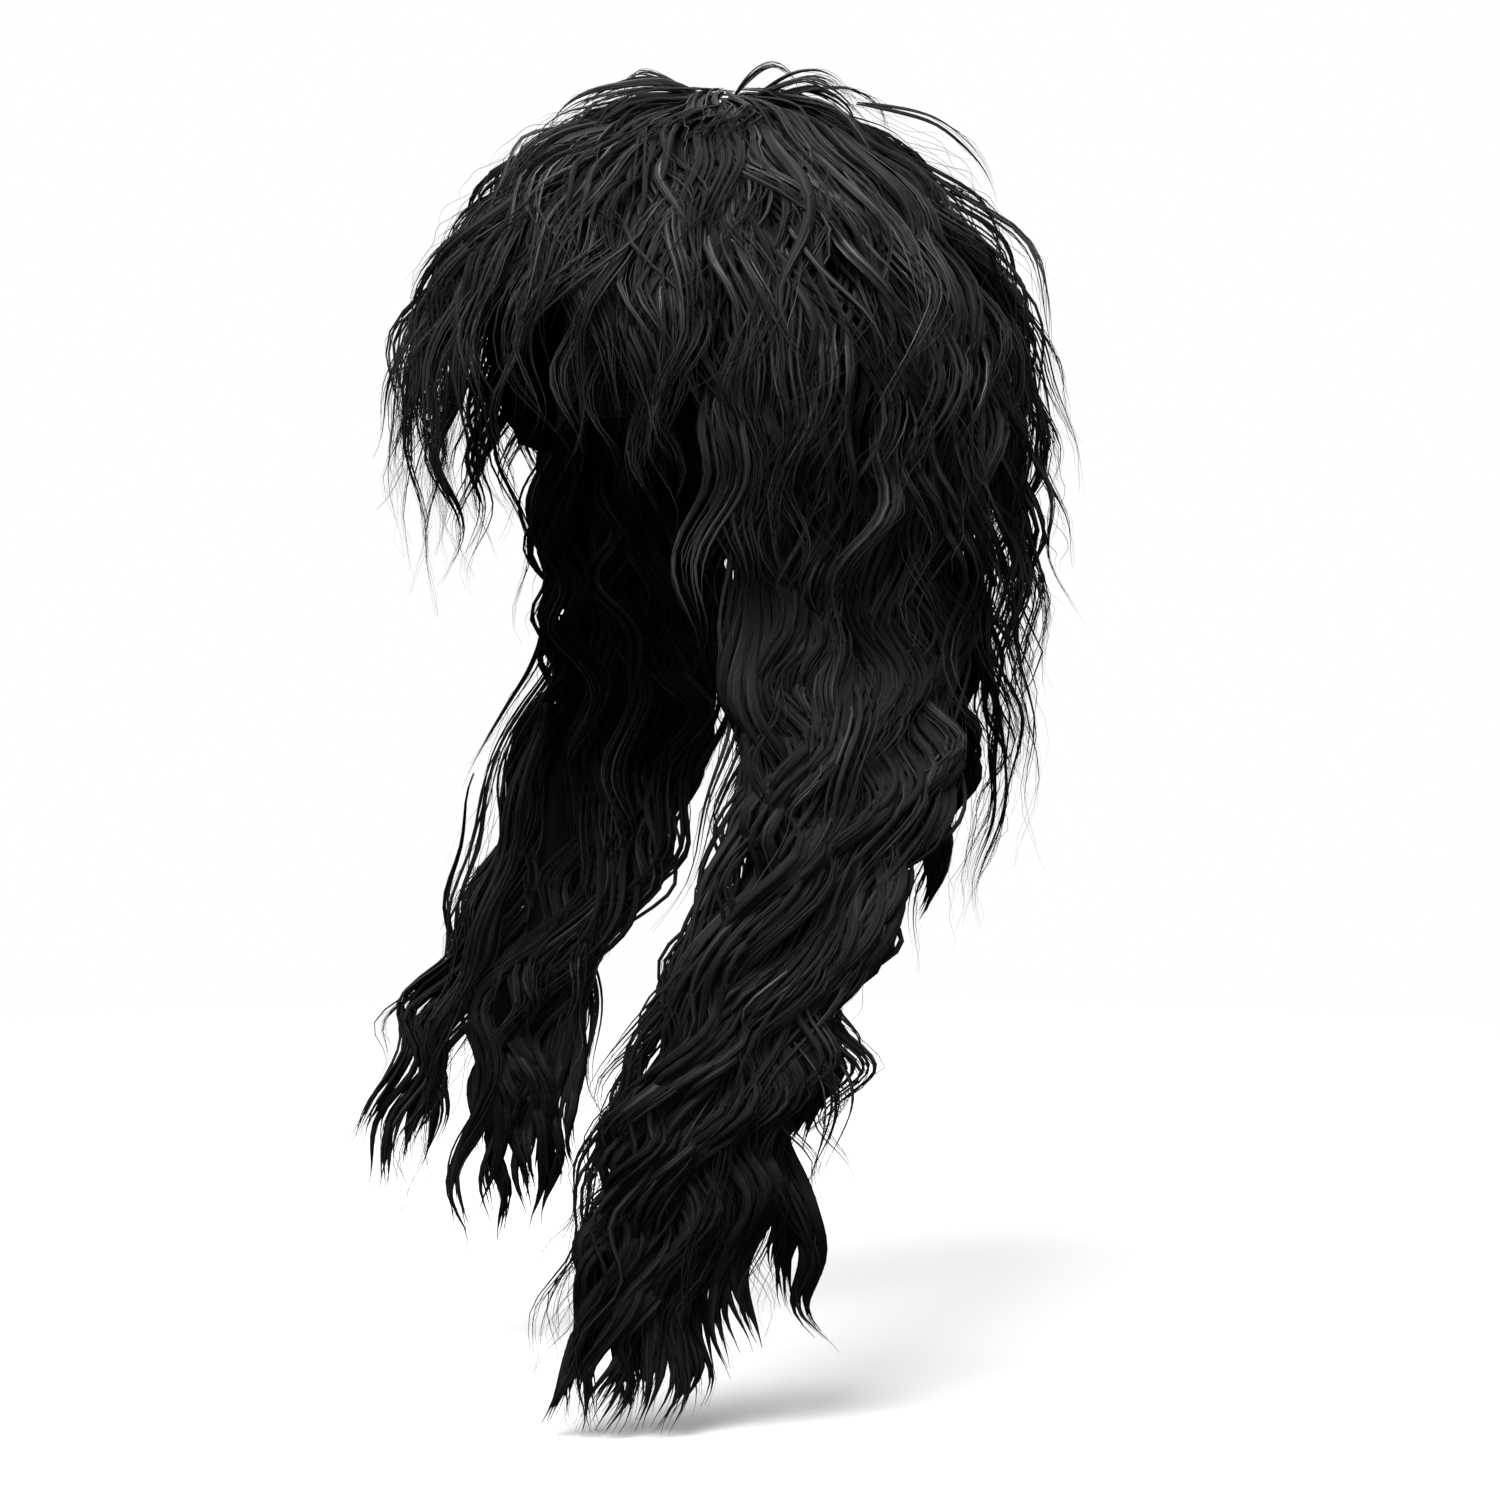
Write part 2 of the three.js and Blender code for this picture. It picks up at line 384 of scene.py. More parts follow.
class Piece:
    """A finished mesh piece: it rides the body, takes a finish and stands for CAD nodes."""

    @staticmethod
    def from_faces(
        name: str,
        points: Array,
        quads: NDArray[np.int64],
        triangles: NDArray[np.int64],
        quad_map: Array,
        triangle_map: Array,
    ) -> Object:
        """Puts whole arrays of points and faces into a new mesh object with a map.

        Args:
            name: The piece's name.
            points: Places, as rows of three.
            quads: Point numbers, as rows of four.
            triangles: Point numbers, as rows of three.
            quad_map: Map places of the quads' corners, as rows of two.
            triangle_map: Map places of the triangles' corners, as rows of two.

        Returns:
            The new object, at the origin.
        """
        mesh = bpy.data.meshes.new(name)
        corners = np.concatenate([quads.ravel(), triangles.ravel()]).astype(np.int32)
        starts = np.concatenate([
            np.arange(len(quads)) * 4,
            quads.size + np.arange(len(triangles)) * 3,
        ]).astype(np.int32)
        mesh.vertices.add(len(points))
        mesh.vertices.foreach_set("co", points.astype(np.float32).ravel())
        mesh.loops.add(len(corners))
        mesh.loops.foreach_set("vertex_index", corners)
        mesh.polygons.add(len(starts))
        mesh.polygons.foreach_set("loop_start", starts)
        mesh.polygons.foreach_set("use_smooth", np.ones(len(starts), bool))
        layer = mesh.uv_layers.new(name=UV_MAP)
        places = np.concatenate([quad_map, triangle_map]).astype(np.float32)
        layer.uv.foreach_set("vector", places.ravel())
        mesh.update(calc_edges=True)
        mesh.validate()
        made = bpy.data.objects.new(name, mesh)
        bpy.context.scene.collection.objects.link(made)
        return made

    @staticmethod
    def finish(made: Object, material: Material, slot: str, stands_for: Sequence[str]) -> None:
        """Dresses a piece, and says what it rides, wears and stands for.

        Args:
            made: The piece.
            material: Its material.
            slot: The record's material slot; not used.
            stands_for: The CAD nodes that it stands for.
        """
        made.data.materials.append(material)
        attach(made, BODY)
        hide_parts(*stands_for)
        made.data.calc_loop_triangles()
        LOG.info("%s: %d triangles", made.name, len(made.data.loop_triangles))


@dataclass(frozen=True)
class HeadForm:
    """The form under the hair: a half ellipsoid down to the widest level, and straight below it."""

    half_width: float
    half_depth: float
    rise: float
    spread: float
    dome_height: float = 0.116
    base: float = 0.002
    hang: float = 0.1
    arc: float = 0.19

    @classmethod
    def from_frame(cls, wall: float = 0.0015) -> "HeadForm":
        """Reads the sizes off the boxes of the cap and of the crown layer.

        Args:
            wall: The cap's thickness.

        Returns:
            The head's form.
        """
        cap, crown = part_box("wig_cap")[1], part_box("crown_layer")[1]
        half_width = cap.x - wall
        return cls(
            half_width=half_width,
            half_depth=cap.y - wall,
            rise=crown.z - cls.base,
            spread=crown.x - half_width - cls.base,
        )

    def drop(self, way: Array) -> Array:
        """The drop at a way down from the top: 1 at the widest level, then one for each hang below."""
        return np.where(way < self.arc, way / self.arc, 1.0 + (way - self.arc) / self.hang)

    def point(self, angle: Array, drop: Array, lift: Array) -> Array:
        """Places in the hair: an ellipsoid grown by the lift, with a straight wall below its widest.

        Args:
            angle: Degrees from the face, towards the wearer's left.
            drop: 0 at the top, 1 at the widest level, more below it.
            lift: 0 on the cap, 1 on the outside of the crown layer.

        Returns:
            The places, as an array with a last axis of three.
        """
        turn = np.radians(angle)
        polar = np.minimum(drop, 1.0) * np.pi / 2.0
        below = np.maximum(drop - 1.0, 0.0) * self.hang
        out = self.base + lift * self.spread
        up = self.base + lift * self.rise
        ring = np.sin(polar)
        return np.stack([
            (self.half_width + out) * ring * np.sin(turn),
            -(self.half_depth + out) * ring * np.cos(turn),
            (self.dome_height + up) * np.cos(polar) - self.dome_height - below,
        ], axis=-1)

    def outward(self, angle: Array, drop: Array) -> Array:
        """Outward directions: the ellipsoid's normal, level below the widest level.

        Args:
            angle: Degrees from the face.
            drop: As for point.

        Returns:
            Unit vectors.
        """
        turn = np.radians(angle)
        polar = np.minimum(drop, 1.0) * np.pi / 2.0
        return unit(np.stack([
            np.sin(polar) * np.sin(turn) / self.half_width,
            -np.sin(polar) * np.cos(turn) / self.half_depth,
            np.cos(polar) / self.dome_height,
        ], axis=-1))

    @staticmethod
    def sideways(angle: Array) -> Array:
        """Level unit vectors round the head, towards growing angles."""
        turn = np.radians(angle)
        return np.stack([np.cos(turn), np.sin(turn), np.zeros_like(turn)], axis=-1)


@dataclass
class Locks:
    """Centre lines of locks, with the directions across and out of each, by lock and by ring."""

    centre: Array
    side: Array
    out: Array

    def lengths(self) -> Array:
        """Each lock's length: the sum of the steps of its centre line."""
        return np.linalg.norm(np.diff(self.centre, axis=1), axis=2).sum(axis=1)

    def at(self, place: Array) -> "Locks":
        """Reads the locks at shares of their length, between rings in proportion.

        Args:
            place: Shares from 0 to 1, by lock, strand and ring.

        Returns:
            Lines and directions, by lock, strand and ring.
        """
        last = self.centre.shape[1] - 1
        low = np.minimum((place * last).astype(int), last - 1)
        part = (place * last - low)[..., None]
        lock = np.arange(len(self.centre))[:, None, None]

        def read(grid: Array) -> Array:
            """Mixes the two rings on either side of each place."""
            return grid[lock, low] * (1.0 - part) + grid[lock, low + 1] * part

        return Locks(read(self.centre), read(self.side), read(self.out))

    def moved(self, aside: Array, outwards: Array) -> "Locks":
        """The same lines, moved by distances across and out."""
        line = self.centre + self.side * aside[..., None] + self.out * outwards[..., None]
        return Locks(line, self.side, self.out)


@dataclass(frozen=True)
class Section:
    """The cross-section of a fibre: a flattened ring of few points."""

    sides: int
    flat: float

    def ring(self) -> tuple[Array, Array]:
        """Angles of the ring's points, and their places in half widths, across and up."""
        turn = TURN * np.arange(self.sides) / self.sides + np.pi / 2.0
        return turn, np.stack([np.cos(turn), self.flat * np.sin(turn)], axis=1)


HAIR_SECTION = Section(sides=3, flat=0.62)
TUFT_SECTION = Section(sides=3, flat=0.45)


@dataclass
class Fibres:
    """Hairs or tufts of hair: lines, outward directions, half widths, rolls, and tones that carry
    painted light and shade.
    """

    line: Array
    out: Array
    half: Array
    roll: Array
    tone_and_painted_light: Array

    @classmethod
    def along(cls, locks: Locks, half: Array, roll: Array, tone_and_painted_light: Array) -> "Fibres":
        """Fibres along lines that are given by lock and fibre, in one row for all of them.

        Args:
            locks: The lines.
            half: Half thicknesses, by lock, fibre and ring.
            roll: Turns about the lines, likewise.
            tone_and_painted_light: How light each fibre is: its own random lightness, with painted
                light and shade by part of the hair.

        Returns:
            The fibres.
        """
        rings = half.shape[-1]
        line, out = locks.centre.reshape(-1, rings, 3), locks.out.reshape(-1, rings, 3)
        return cls(line, out, half.reshape(-1, rings), roll.reshape(-1, rings), tone_and_painted_light.reshape(-1))

    @staticmethod
    def cells(count: int, rings: int, sides: int) -> tuple[Array, Array]:
        """Map places: a grid of tall cells, with a fibre in each, its length up and its sides across.

        Args:
            count: Fibres.
            rings: Points along each.
            sides: Points round each.

        Returns:
            Rows of two, for the corners of the sides and for those of the two ends.
        """
        columns = math.ceil(math.sqrt(CELLS_TALL * count / sides))
        size = 1.0 / np.array([columns, math.ceil(count / columns)])
        cell = np.stack([np.arange(count) % columns, np.arange(count) // columns], axis=1)
        shape = (count, rings - 1, sides)
        step = (1.0 - 2.0 * MAP_END) / (rings - 1)
        left = np.broadcast_to(np.arange(sides) / sides, shape)
        low = np.broadcast_to(MAP_END + step * np.arange(rings - 1)[:, None], shape)
        right, high = left + 1.0 / sides, low + step
        corners = ((left, low), (left, high), (right, high), (right, low))
        inside = np.stack([np.stack(corner, -1) for corner in corners], axis=3)
        fans = sides - 2
        part = np.arange(fans)[:, None] + np.array([0.1, 0.5, 0.9])
        end = np.stack([part / fans, np.broadcast_to([0.0, FAN_END, 0.0], part.shape)], -1)
        ends = np.concatenate([end, end[:, ::-1] * [1.0, -1.0] + [0.0, 1.0]])
        within = 1.0 - 2.0 * MAP_SIDE
        side_map = (cell[:, None, None, None, :] + MAP_SIDE + within * inside) * size
        end_map = (cell[:, None, None, :] + MAP_SIDE + within * ends) * size
        return side_map.reshape(-1, 2), end_map.reshape(-1, 2)

    def grain(self, turn: Array, seed: int) -> Array:
        """Where the streaks are read: round each fibre by its girth, and slowly along it.

        Args:
            turn: Angles of the points round a fibre.
            seed: Seed of each fibre's own place in the streaks.

        Returns:
            Rows of three, by fibre, ring and side.
        """
        count, rings = self.half.shape
        steps = np.linalg.norm(np.diff(self.line, axis=1), axis=2)
        along = np.pad(np.cumsum(steps, axis=1), ((0, 0), (1, 0))) / GRAIN_LENGTH
        girth = self.half.max(axis=1)[:, None, None] / GRAIN_WIDTH
        grain = np.empty((count, rings, len(turn), 3))
        grain[..., 0] = girth * np.cos(turn)
        grain[..., 1] = girth * np.sin(turn)
        grain[..., 2] = along[:, :, None]
        return grain + np.random.default_rng(seed).uniform(0.0, GRAIN_SPREAD, (count, 1, 1, 3))

    def mesh(self, name: str, section: Section, seed: int) -> Object:
        """A closed tapered tube along each line, with its own cell of the map.

        A ring of the section stands across the line at each of its points, turned by the roll.

        Args:
            name: The piece's name.
            section: The tubes' cross-section.
            seed: Seed of each fibre's own place in the streaks.

        Returns:
            The new object, with the attributes tone_and_painted_light and grain.
        """
        count, rings = self.half.shape
        sides = section.sides
        turn, flat = section.ring()
        way = unit(np.gradient(self.line, axis=1))
        level = unit(np.cross(way, self.out))
        above = np.cross(level, way)
        cos, sin = np.cos(self.roll)[..., None], np.sin(self.roll)[..., None]
        across = level * cos + above * sin
        up = above * cos - level * sin
        ring = across[:, :, None, :] * flat[:, :1] + up[:, :, None, :] * flat[:, 1:]
        points = self.line[:, :, None, :] + self.half[:, :, None, None] * ring

        first = (np.arange(count) * rings * sides)[:, None, None]
        here = first + (np.arange(rings - 1) * sides)[None, :, None]
        there = here + sides
        side = np.arange(sides)[None, None, :]
        after = (side + 1) % sides
        quads = np.stack([here + side, there + side, there + after, here + after], axis=-1)
        second = np.arange(1, sides - 1)
        fan = np.stack([0 * second, second, second + 1], axis=1)
        ends = np.concatenate([first + fan, first + (rings - 1) * sides + fan[:, ::-1]], axis=1)
        made = Piece.from_faces(
            name,
            points.reshape(-1, 3),
            quads.reshape(-1, 4),
            ends.reshape(-1, 3),
            *self.cells(count, rings, sides),
        )
        # Each fibre's lightness: random, with painted light and shade by part of the hair.
        tone_and_painted_light = made.data.attributes.new("tone_and_painted_light", "FLOAT", "POINT")
        tone_and_painted_light.data.foreach_set("value", np.repeat(self.tone_and_painted_light, rings * sides).astype(np.float32))
        grain = made.data.attributes.new("grain", "FLOAT_VECTOR", "POINT")
        grain.data.foreach_set("vector", self.grain(turn, seed).astype(np.float32).ravel())
        return made


@dataclass(frozen=True)
class LockCut:
    """How one lock is made: a few flat tufts side by side, with single hairs lying over them."""

    tufts: int = 5
    strands: int = 6
    hair_rings: int = 12
    half_width: float = 0.0056
    half_depth: float = 0.0024
    tuft_half: float = 0.0012
    root: float = 0.35
    full_from: float = 0.16
    taper: float = 0.96
    taper_from: float = 0.32
    strand_half: float = 0.0002
    frizz: float = 0.0007
    stray: float = 0.16
    open_tip: float = 0.4
    shortest: float = 0.66
    twist: float = 1.0
    # Span of the locks' lightness: random within it, and set by part as painted light and shade,
    # lighter on the lit crown and outer layers, darker on the long falls.
    light: Span = (0.05, 0.9)
    curl: float = 0.055
    wander: float = 0.16
    frizz_lengths: Span = (0.017, 0.041)
    frizz_mean: float = 0.03
    scales: Span = (0.65, 1.35)
    scatter: float = 0.16
    uneven: float = 0.36
    near: Span = (0.75, 1.25)
    far: Span = (1.6, 3.2)

    def fullness(self, place: Array) -> Array:
        """How open the lock is along it: it opens below the root, and draws in a little to its tip."""
        drawn_in = (1.0 - self.open_tip) * ease(place, 0.5, 1.0)
        return (0.4 + 0.6 * ease(place, 0.0, 0.3)) * (1.0 - drawn_in)

    def fibres(self, locks: Locks, rng: Rng) -> tuple[Fibres, Fibres]:
        """Tufts and hairs of every lock.

        A tuft keeps its place across and through the lock, times the lock's fullness there, turned by
        a slow twist, with a sine wave of its own that parts it from its neighbours towards the tip.
        A hair keeps near the surface of one tuft. Two small waves of its own, growing to the tip, make
        it frizzy, and a stray one lies further out.

        Args:
            locks: The locks' centre lines.
            rng: The source of random numbers.

        Returns:
            The tufts and the hairs.
        """
        count, rings = locks.centre.shape[:2]
        each, grid = (count, 1, 1), (count, self.tufts, 1)
        row = np.arange(count)[:, None]
        lengths = locks.lengths()[:, None, None]
        scale = rng.uniform(*self.scales, each)
        spots = np.linspace(-1.0, 1.0, self.tufts) if self.tufts > 1 else np.zeros(1)
        across = spots[None, :, None] + rng.normal(0.0, self.scatter, grid)
        through = rng.uniform(-1.0, 1.0, grid)
        turn = rng.uniform(-1.0, 1.0, each) * self.twist
        sway = rng.uniform(0.0, TURN, (2, *grid))
        # Each lock's lightness, drawn in the cut's span: random, with painted light on lit parts and
        # painted shade on the falls.
        shade = self.light[0] + (self.light[1] - self.light[0]) * rng.random(each) ** 1.8
        shade = shade + rng.uniform(-0.1, 0.25, grid)

        def course(place: Array, pick: NDArray[np.int64]) -> tuple[Array, Array]:
            """How far the picked tufts stand across and out of their locks at places along them."""
            angle = turn * place
            a, b = across[row, pick], through[row, pick]
            full = scale * self.fullness(place)
            swing = TURN * lengths * place / self.curl
            size = self.wander * self.half_width * ease(place, 0.3, 1.0)
            x = self.half_width * full * (a * np.cos(angle) - 0.4 * b * np.sin(angle))
            y = self.half_depth * full * (b * np.cos(angle) + 0.4 * a * np.sin(angle))
            x = x + size * np.sin(swing + sway[0][row, pick])
            return x, y + size * np.sin(swing + sway[1][row, pick])

        share = np.linspace(0.0, 1.0, rings)
        reach = rng.uniform(self.shortest, 1.0, grid)
        reach[:, 0] = 1.0
        place = share * reach
        x, y = course(place, np.broadcast_to(np.arange(self.tufts), grid[:2]))
        body = self.root + (1.0 - self.root) * ease(share, 0.0, self.full_from)
        body = body * (1.0 - self.taper * ease(share, self.taper_from, 1.0))
        half = self.tuft_half * scale * np.exp(rng.normal(0.0, self.uneven, grid)) * body
        roll = rng.uniform(-0.4, 0.4, each) + rng.uniform(-0.25, 0.25, grid)
        roll = roll + rng.uniform(-0.8, 0.8, each) * place
        tufts = Fibres.along(locks.at(place).moved(x, y), half, roll, np.clip(shade, 0.0, 1.0))

        grid = (count, self.strands, 1)
        share = np.linspace(0.0, 1.0, self.hair_rings)
        pick = rng.integers(0, self.tufts, grid[:2])
        place = np.minimum(share * rng.uniform(self.shortest, 1.04, grid), 1.0)
        x, y = course(place, pick)
        stray = rng.random(grid) < self.stray
        around = rng.uniform(0.0, TURN, grid)
        away = np.where(stray, rng.uniform(*self.far, grid), rng.uniform(*self.near, grid))
        away = away * self.tuft_half * scale
        keep = 0.4 + 0.6 * self.fullness(place) * (1.0 - 0.55 * ease(place, 0.5, 1.0))
        x = x + away * keep * np.cos(around)
        y = y + away * keep * 0.5 * np.sin(around)
        grow = self.frizz * np.where(stray, 2.6, 1.0) * ease(place, 0.05, 0.7)
        for wave in self.frizz_lengths:
            phase = rng.uniform(0.0, TURN, (2, *grid))
            bend = TURN * lengths * place / (wave * rng.uniform(0.75, 1.3, grid))
            size = grow * math.sqrt(wave / self.frizz_mean)
            x = x + size * np.sin(bend + phase[0])
            y = y + size * np.sin(bend + phase[1])
        half = self.strand_half * np.where(stray, 0.7, rng.uniform(0.8, 1.3, grid))
        half = half * (0.5 + 0.5 * ease(share, 0.0, 0.1)) * (1.0 - 0.8 * ease(share, 0.6, 1.0))
        tone_and_painted_light = np.clip(shade[row, pick] + rng.uniform(0.0, 0.5, grid), 0.0, 1.0)
        hairs = Fibres.along(locks.at(place).moved(x, y), half, np.zeros_like(half), tone_and_painted_light)
        return tufts, hairs


@dataclass(frozen=True)
class HairDresser:
    """Turns locks into finished pieces: one of tufts and one of single hairs."""

    material: Material

    def piece(self, name: str, fibres: Fibres, section: Section, seed: int, part: HairPart) -> None:
        """Makes and finishes one piece of fibres, which stands for one part of the hair."""
        Piece.finish(fibres.mesh(name, section, seed), self.material, HAIR_SLOT, part.nodes())

    def dress(self, name: str, fibres: tuple[Fibres, Fibres], seed: int, part: HairPart) -> None:
        """Makes and finishes two pieces, of tufts and of hairs, whose names begin with the name."""
        self.piece(f"{name}_locks", fibres[0], TUFT_SECTION, seed, part)
        self.piece(f"{name}_hairs", fibres[1], HAIR_SECTION, seed, part)


def handed(phase: Array) -> Array:
    """Which way round a wave coils, 1 or -1: the first where the phase's whole part is even."""
    return np.where(phase % 2.0 < 1.0, 1.0, -1.0)


@dataclass
class ShellLocks:
    """Locks that lie round the head, each from a root down and out to a tip, with a row for each."""

    angle: Array
    start: Array
    length: Array
    root_lift: Array
    full_lift: Array
    flick: Array
    drift: Array
    wave: Array
    wave_length: Array
    phase: Array
    arch: Array

    def locks(self, head: HeadForm, rings: int) -> Locks:
        """Centre lines: a way down the head from each start, lifted by a step, an arch and a flick.

        The lift is the root's, eased to the full one over the first half, plus an arch of half a sine,
        plus a flick that grows with the cube of the share. A sine wave sways it sideways, and its
        cosine in and out by three quarters as much.

        Args:
            head: The form under the hair.
            rings: Points on each line.

        Returns:
            The lines with their directions.
        """
        def rows(values: Array) -> Array:
            """A column, so that it spreads along the rings."""
            return values[:, None]

        share = np.linspace(0.0, 1.0, rings)
        drop = head.drop(rows(self.start) + rows(self.length) * share)
        lift = rows(self.root_lift) + rows(self.full_lift - self.root_lift) * ease(share, 0.0, 0.5)
        lift = lift + rows(self.arch) * np.sin(np.pi * share) + rows(self.flick) * share**3
        angle = rows(self.angle) + rows(self.drift) * share**1.4
        swing = TURN * rows(self.length) * share / rows(self.wave_length) + rows(self.phase)
        sway = rows(self.wave) * ease(share, 0.12, 0.5)
        line = Locks(head.point(angle, drop, lift), head.sideways(angle), head.outward(angle, drop))
        return line.moved(
            sway * np.sin(swing), 0.75 * sway * handed(rows(self.phase)) * np.cos(swing)
        )


def node_points(node: str) -> Array:
    """Places of the points of a CAD node.

    Args:
        node: The node's name.

    Returns:
        Rows of three.
    """
    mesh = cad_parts[node].data
    points = np.empty(len(mesh.vertices) * 3, np.float32)
    mesh.vertices.foreach_get("co", points)
    return points.reshape(-1, 3).astype(float)


def closed_shell(name: str, outside: Array, inside: Array, poles: Array) -> Object:
    """A dome of two sheets joined at their rim, closed by a fan at each top, with a round map for each.

    Args:
        name: The piece's name.
        outside: Places of the outer sheet, by row from the top and by step round it.
        inside: Places of the inner sheet, likewise.
        poles: The top of the outer sheet and of the inner one.

    Returns:
        The new object.
    """
    rows, around = outside.shape[:2]
    points = np.concatenate([outside.reshape(-1, 3), inside.reshape(-1, 3), poles])
    grid = np.arange(rows * around).reshape(rows, around)
    after = np.roll(grid, -1, axis=1)
    many = grid.size
    outer = np.stack([grid[:-1], grid[1:], after[1:], after[:-1]], -1).reshape(-1, 4)
    edge = np.stack([grid[-1], grid[-1] + many, after[-1] + many, after[-1]], -1)
    crown = np.stack([np.full(around, 2 * many), grid[0], after[0]], -1)
    hollow = np.stack([np.full(around, 2 * many + 1), after[0] + many, grid[0] + many], -1)
    quads = np.concatenate([outer, outer[:, ::-1] + many, edge])
    triangles = np.concatenate([crown, hollow])
    reach = DISC_LEAST + DISC_REACH * np.arange(1, rows + 1)[:, None] / rows
    turn = TURN * np.arange(around) / around
    disc = np.stack([reach * np.cos(turn), reach * np.sin(turn)], -1).reshape(-1, 2)
    rim = 1.0 + DISC_RIM * (np.arange(many) >= many - around)[:, None]
    centres = np.array(DISC_CENTRES)
    place = np.concatenate([centres[0] + disc * rim, centres[1] + disc, centres])
    return Piece.from_faces(
        name, points, quads, triangles, place[quads.ravel()], place[triangles.ravel()]
    )


@dataclass(frozen=True)
class CapNet:
    """The cap: a thin net shell with rows of weft sewn round it and a turned rim."""

    head: HeadForm
    wall: float = 0.0012
    around: int = 96
    rows: int = 36
    weft_rows: int = 9
    weft_height: float = 0.0006
    rim_roll: float = 0.0007
    rim_beyond: float = 0.03
    rim_step: float = 11.25
    rim_near: float = 4.0
    gap: float = 0.0002
    tuck: float = 0.35

    def rim(self, angle: Array) -> Array:
        """The rim's height at each angle, read off the CAD cap's lowest point there.

        Args:
            angle: Degrees from the face, from 0 to 360.

        Returns:
            Heights.
        """
        points = node_points("wig_cap")
        low = points[np.hypot(points[:, 0], points[:, 1]) > self.rim_beyond]
        turn = np.round(np.degrees(np.arctan2(low[:, 0], -low[:, 1])) % 360.0, 1)
        steps = np.unique(np.round(turn / self.rim_step) * self.rim_step % 360.0)
        near = np.abs((turn[None, :] - steps[:, None] + 180.0) % 360.0 - 180.0) < self.rim_near
        heights = np.where(near, low[None, :, 2], 1.0).min(axis=1)
        return np.interp(angle, steps, heights, period=360.0)

    def build(self) -> None:
        """A shell over angle and drop, outside and inside, with small ridges for the weft inside it."""
        angle = np.linspace(0.0, 360.0, self.around, endpoint=False)
        rim = self.rim(angle)
        polar = np.arccos(np.clip((rim + self.head.dome_height) / self.head.dome_height, 0.0, 1.0))
        below = np.maximum(-self.head.dome_height - rim, 0.0) / self.head.hang
        rim_drop = polar / (np.pi / 2.0) + below
        share = np.linspace(0.0, 1.0, self.rows + 1)[1:]
        drop = rim_drop[None, :] * share[:, None]
        weft = self.weft_height * np.clip(np.cos(TURN * self.weft_rows * share), 0.0, 1.0) ** 6
        roll = self.rim_roll * ease(share, 0.95, 0.975)
        spread = np.broadcast_to(angle[None, :], drop.shape)

        def sheet(offset: Array) -> Array:
            """The head's form grown by an offset for each row, drawn in a little below its widest."""
            lift = (offset[:, None] - self.head.base) / self.head.spread
            grown = self.head.point(spread, drop, np.broadcast_to(lift, drop.shape))
            tuck = 1.0 - self.tuck * np.maximum(drop - 1.0, 0.0) ** 2
            return grown * np.stack([tuck, tuck, np.ones_like(tuck)], axis=-1)

        poles = np.array([[0.0, 0.0, self.wall], [0.0, 0.0, 0.0]])
        outside, inside = sheet(self.wall + roll), sheet(self.gap - weft - roll)
        made = closed_shell("cap_net", outside, inside, poles)
        Piece.finish(made, NetFinish().material(), CAP_SLOT, ["wig_cap"])


@dataclass(frozen=True)
class HeadHair(ABC):
    """Hair that covers a part of the head, lock by lock."""

    head: HeadForm
    part: HairPart
    name: str
    seed: int
    count: int
    rings: int
    cut: LockCut

    @abstractmethod
    def shell(self, rng: Rng) -> ShellLocks:
        """The locks' courses, which each kind of hair draws in its own way.

        Args:
            rng: The source of random numbers.

        Returns:
            The courses.
        """

    def build(self, dresser: HairDresser) -> None:
        """Makes the locks and their single hairs.

        Args:
            dresser: Makes the pieces.
        """
        rng = np.random.default_rng(self.seed)
        fibres = self.cut.fibres(self.shell(rng).locks(self.head, self.rings), rng)
        dresser.dress(self.name, fibres, self.seed + 1, self.part)


